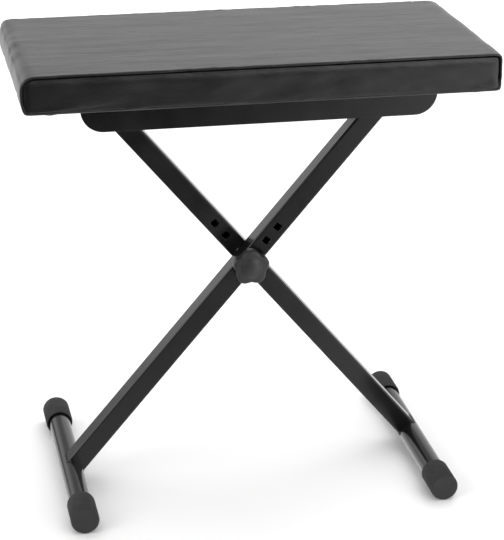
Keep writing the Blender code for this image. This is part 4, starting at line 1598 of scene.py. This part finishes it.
class BENCH_OT_stage(bpy.types.Operator):
    """Lay the floor and set the light and the camera"""

    bl_idname = "bench.stage"
    bl_label = "Stage"

    CAMERA_AT = Vector((-0.4835, -2.3487, 1.2472))
    YAW, PITCH, ROLL = math.radians(11.878), math.radians(-22.076), math.radians(0.504)
    LENS = 132.8  # mm, on a sensor 36 mm along the picture's longer side

    def execute(self, context):
        stage = context.scene.bench_stage
        self.camera(context.scene)
        self.floor(stage)
        self.surround(context.scene, stage)
        self.overhead(stage)
        context.scene.view_settings.view_transform = "Standard"
        return {"FINISHED"}

    def camera(self, scene):
        look = Vector((
            math.sin(self.YAW) * math.cos(self.PITCH), math.cos(self.YAW) * math.cos(self.PITCH),
            math.sin(self.PITCH),
        ))
        level = Vector((math.cos(self.YAW), -math.sin(self.YAW), 0))
        steady = level.cross(look)
        right = level * math.cos(self.ROLL) + steady * math.sin(self.ROLL)
        up = steady * math.cos(self.ROLL) - level * math.sin(self.ROLL)
        camera = bpy.data.objects.new("camera", bpy.data.cameras.new("camera"))
        camera.matrix_world = Matrix((right, up, -look)).transposed().to_4x4()
        camera.matrix_world.translation = self.CAMERA_AT
        camera.data.sensor_width = 36
        camera.data.lens = self.LENS
        scene.collection.objects.link(camera)
        scene.camera = camera

    def floor(self, stage):
        half, squares = 7.0, 28
        bm = bmesh.new()
        bmesh.ops.create_grid(bm, x_segments=squares, y_segments=squares, size=half)
        floor = finished("floor", bm, studio_paper(stage.floor))
        # Gloss on the bench shows the studio round it, and not the shadowed paper.
        floor.visible_glossy = False
        floor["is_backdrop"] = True

    # Parts of the studio: azimuth from the front towards the right, elevation, radius of the even
    # part, radius where it ends (all in degrees), and brightness.
    PARTS = (
        (10, 62, 28, 50, 0.30),  # ceiling
        (-10, 0, 50, 85, 0.24),  # the room behind the camera
        (-8, 2, 26, 38, 0.02),  # camera, stand and photographer
        (18, -44, 12, 24, 1.30),  # lit floor in front
        (36, -14, 10, 24, 1.90),  # low reflector on the right
        (-168, 44, 18, 29, 0.45),  # top of the backdrop
        (-155, -3, 3, 8, 0.12),  # backdrop's edge
        (33, 20, 11, 25, 3.00),  # softbox on the right
        (-64, 27, 12, 22, 3.60),  # softbox on the left
    )

    def surround(self, scene, stage):
        """White walls all round, a dark gap with the camera in front, and a softbox on each side."""
        world = bpy.data.worlds.new("White studio")
        world.use_nodes = True
        tree = world.node_tree
        background = tree.nodes["Background"]
        way = add(tree, "ShaderNodeTexCoord").outputs["Generated"]
        level = None
        for azimuth, elevation, even, end, brightness in self.PARTS:
            a, e = math.radians(azimuth), math.radians(elevation)
            middle = (math.sin(a) * math.cos(e), -math.cos(a) * math.cos(e), math.sin(e))
            toward = add(
                tree, "ShaderNodeVectorMath", {0: way}, {1: middle}, operation="DOT_PRODUCT"
            )
            share = add(
                tree, "ShaderNodeMapRange", {"Value": toward.outputs["Value"]},
                {"From Min": math.cos(math.radians(end)), "From Max": math.cos(math.radians(even))},
                interpolation_type="SMOOTHSTEP",
            )
            mixed = add(
                tree, "ShaderNodeMix", {0: share.outputs["Result"]},
                {2: stage.surround, 3: brightness}, data_type="FLOAT",
            )
            if level is not None:
                tree.links.new(level, mixed.inputs[2])
            level = mixed.outputs[0]
        background.inputs["Color"].default_value = (1, 1, 1, 1)
        tree.links.new(level, background.inputs["Strength"])
        scene.world = world

    def overhead(self, stage):
        """A wide silk overhead: even light on the floor, with soft shadows."""
        light = bpy.data.lights.new("overhead_silk", "SUN")
        light.energy = stage.overhead
        light.angle = math.radians(70)
        overhead = bpy.data.objects.new("overhead_silk", light)
        overhead.visible_glossy = False
        # A sun shines along its own -Z, so its Z points back to where the light comes from.
        overhead.matrix_world = facing(Vector((0, 0, 3)), Vector((0.15, 0.25, 1)), (1, 0, 0))
        bpy.context.scene.collection.objects.link(overhead)


# Panel and registration

OPERATORS = (
    BENCH_OT_stage,
    BENCH_OT_seat_cover,
    BENCH_OT_staples,
    BENCH_OT_seat_inside,
    BENCH_OT_tray,
    BENCH_OT_pivots,
    BENCH_OT_legs,
    BENCH_OT_feet,
    BENCH_OT_welds,
    BENCH_OT_clamp,
    BENCH_OT_star_knob,
)

SETTINGS = {
    "bench_seat": BenchSeatSettings,
    "bench_steel": BenchSteelSettings,
    "bench_fittings": BenchFittingSettings,
    "bench_stage": BenchStageSettings,
}


class BENCH_PT_panel(bpy.types.Panel):
    """Lists the bench's pieces and their settings"""

    bl_idname = "BENCH_PT_panel"
    bl_label = "Folding Piano Bench"
    bl_space_type = "VIEW_3D"
    bl_region_type = "UI"
    bl_category = "Bench"

    def draw(self, context):
        for name, settings in SETTINGS.items():
            box = self.layout.box()
            for prop in settings.__annotations__:
                box.prop(getattr(context.scene, name), prop)
        for operator in OPERATORS:
            self.layout.operator(operator.bl_idname)


def register():
    for cls in (*SETTINGS.values(), *OPERATORS, BENCH_PT_panel):
        bpy.utils.register_class(cls)
    for name, settings in SETTINGS.items():
        setattr(bpy.types.Scene, name, PointerProperty(type=settings))


def unregister():
    for name in SETTINGS:
        delattr(bpy.types.Scene, name)
    for cls in reversed((*SETTINGS.values(), *OPERATORS, BENCH_PT_panel)):
        bpy.utils.unregister_class(cls)


def main():
    register()
    for operator in OPERATORS:
        group, name = operator.bl_idname.split(".")
        getattr(getattr(bpy.ops, group), name)()
    sizes = {"cad": cad_bounds, "visual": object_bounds()}
    plain = {key: [[float(x) for x in corner] for corner in value] for key, value in sizes.items()}


if __name__ == "__main__":
    main()
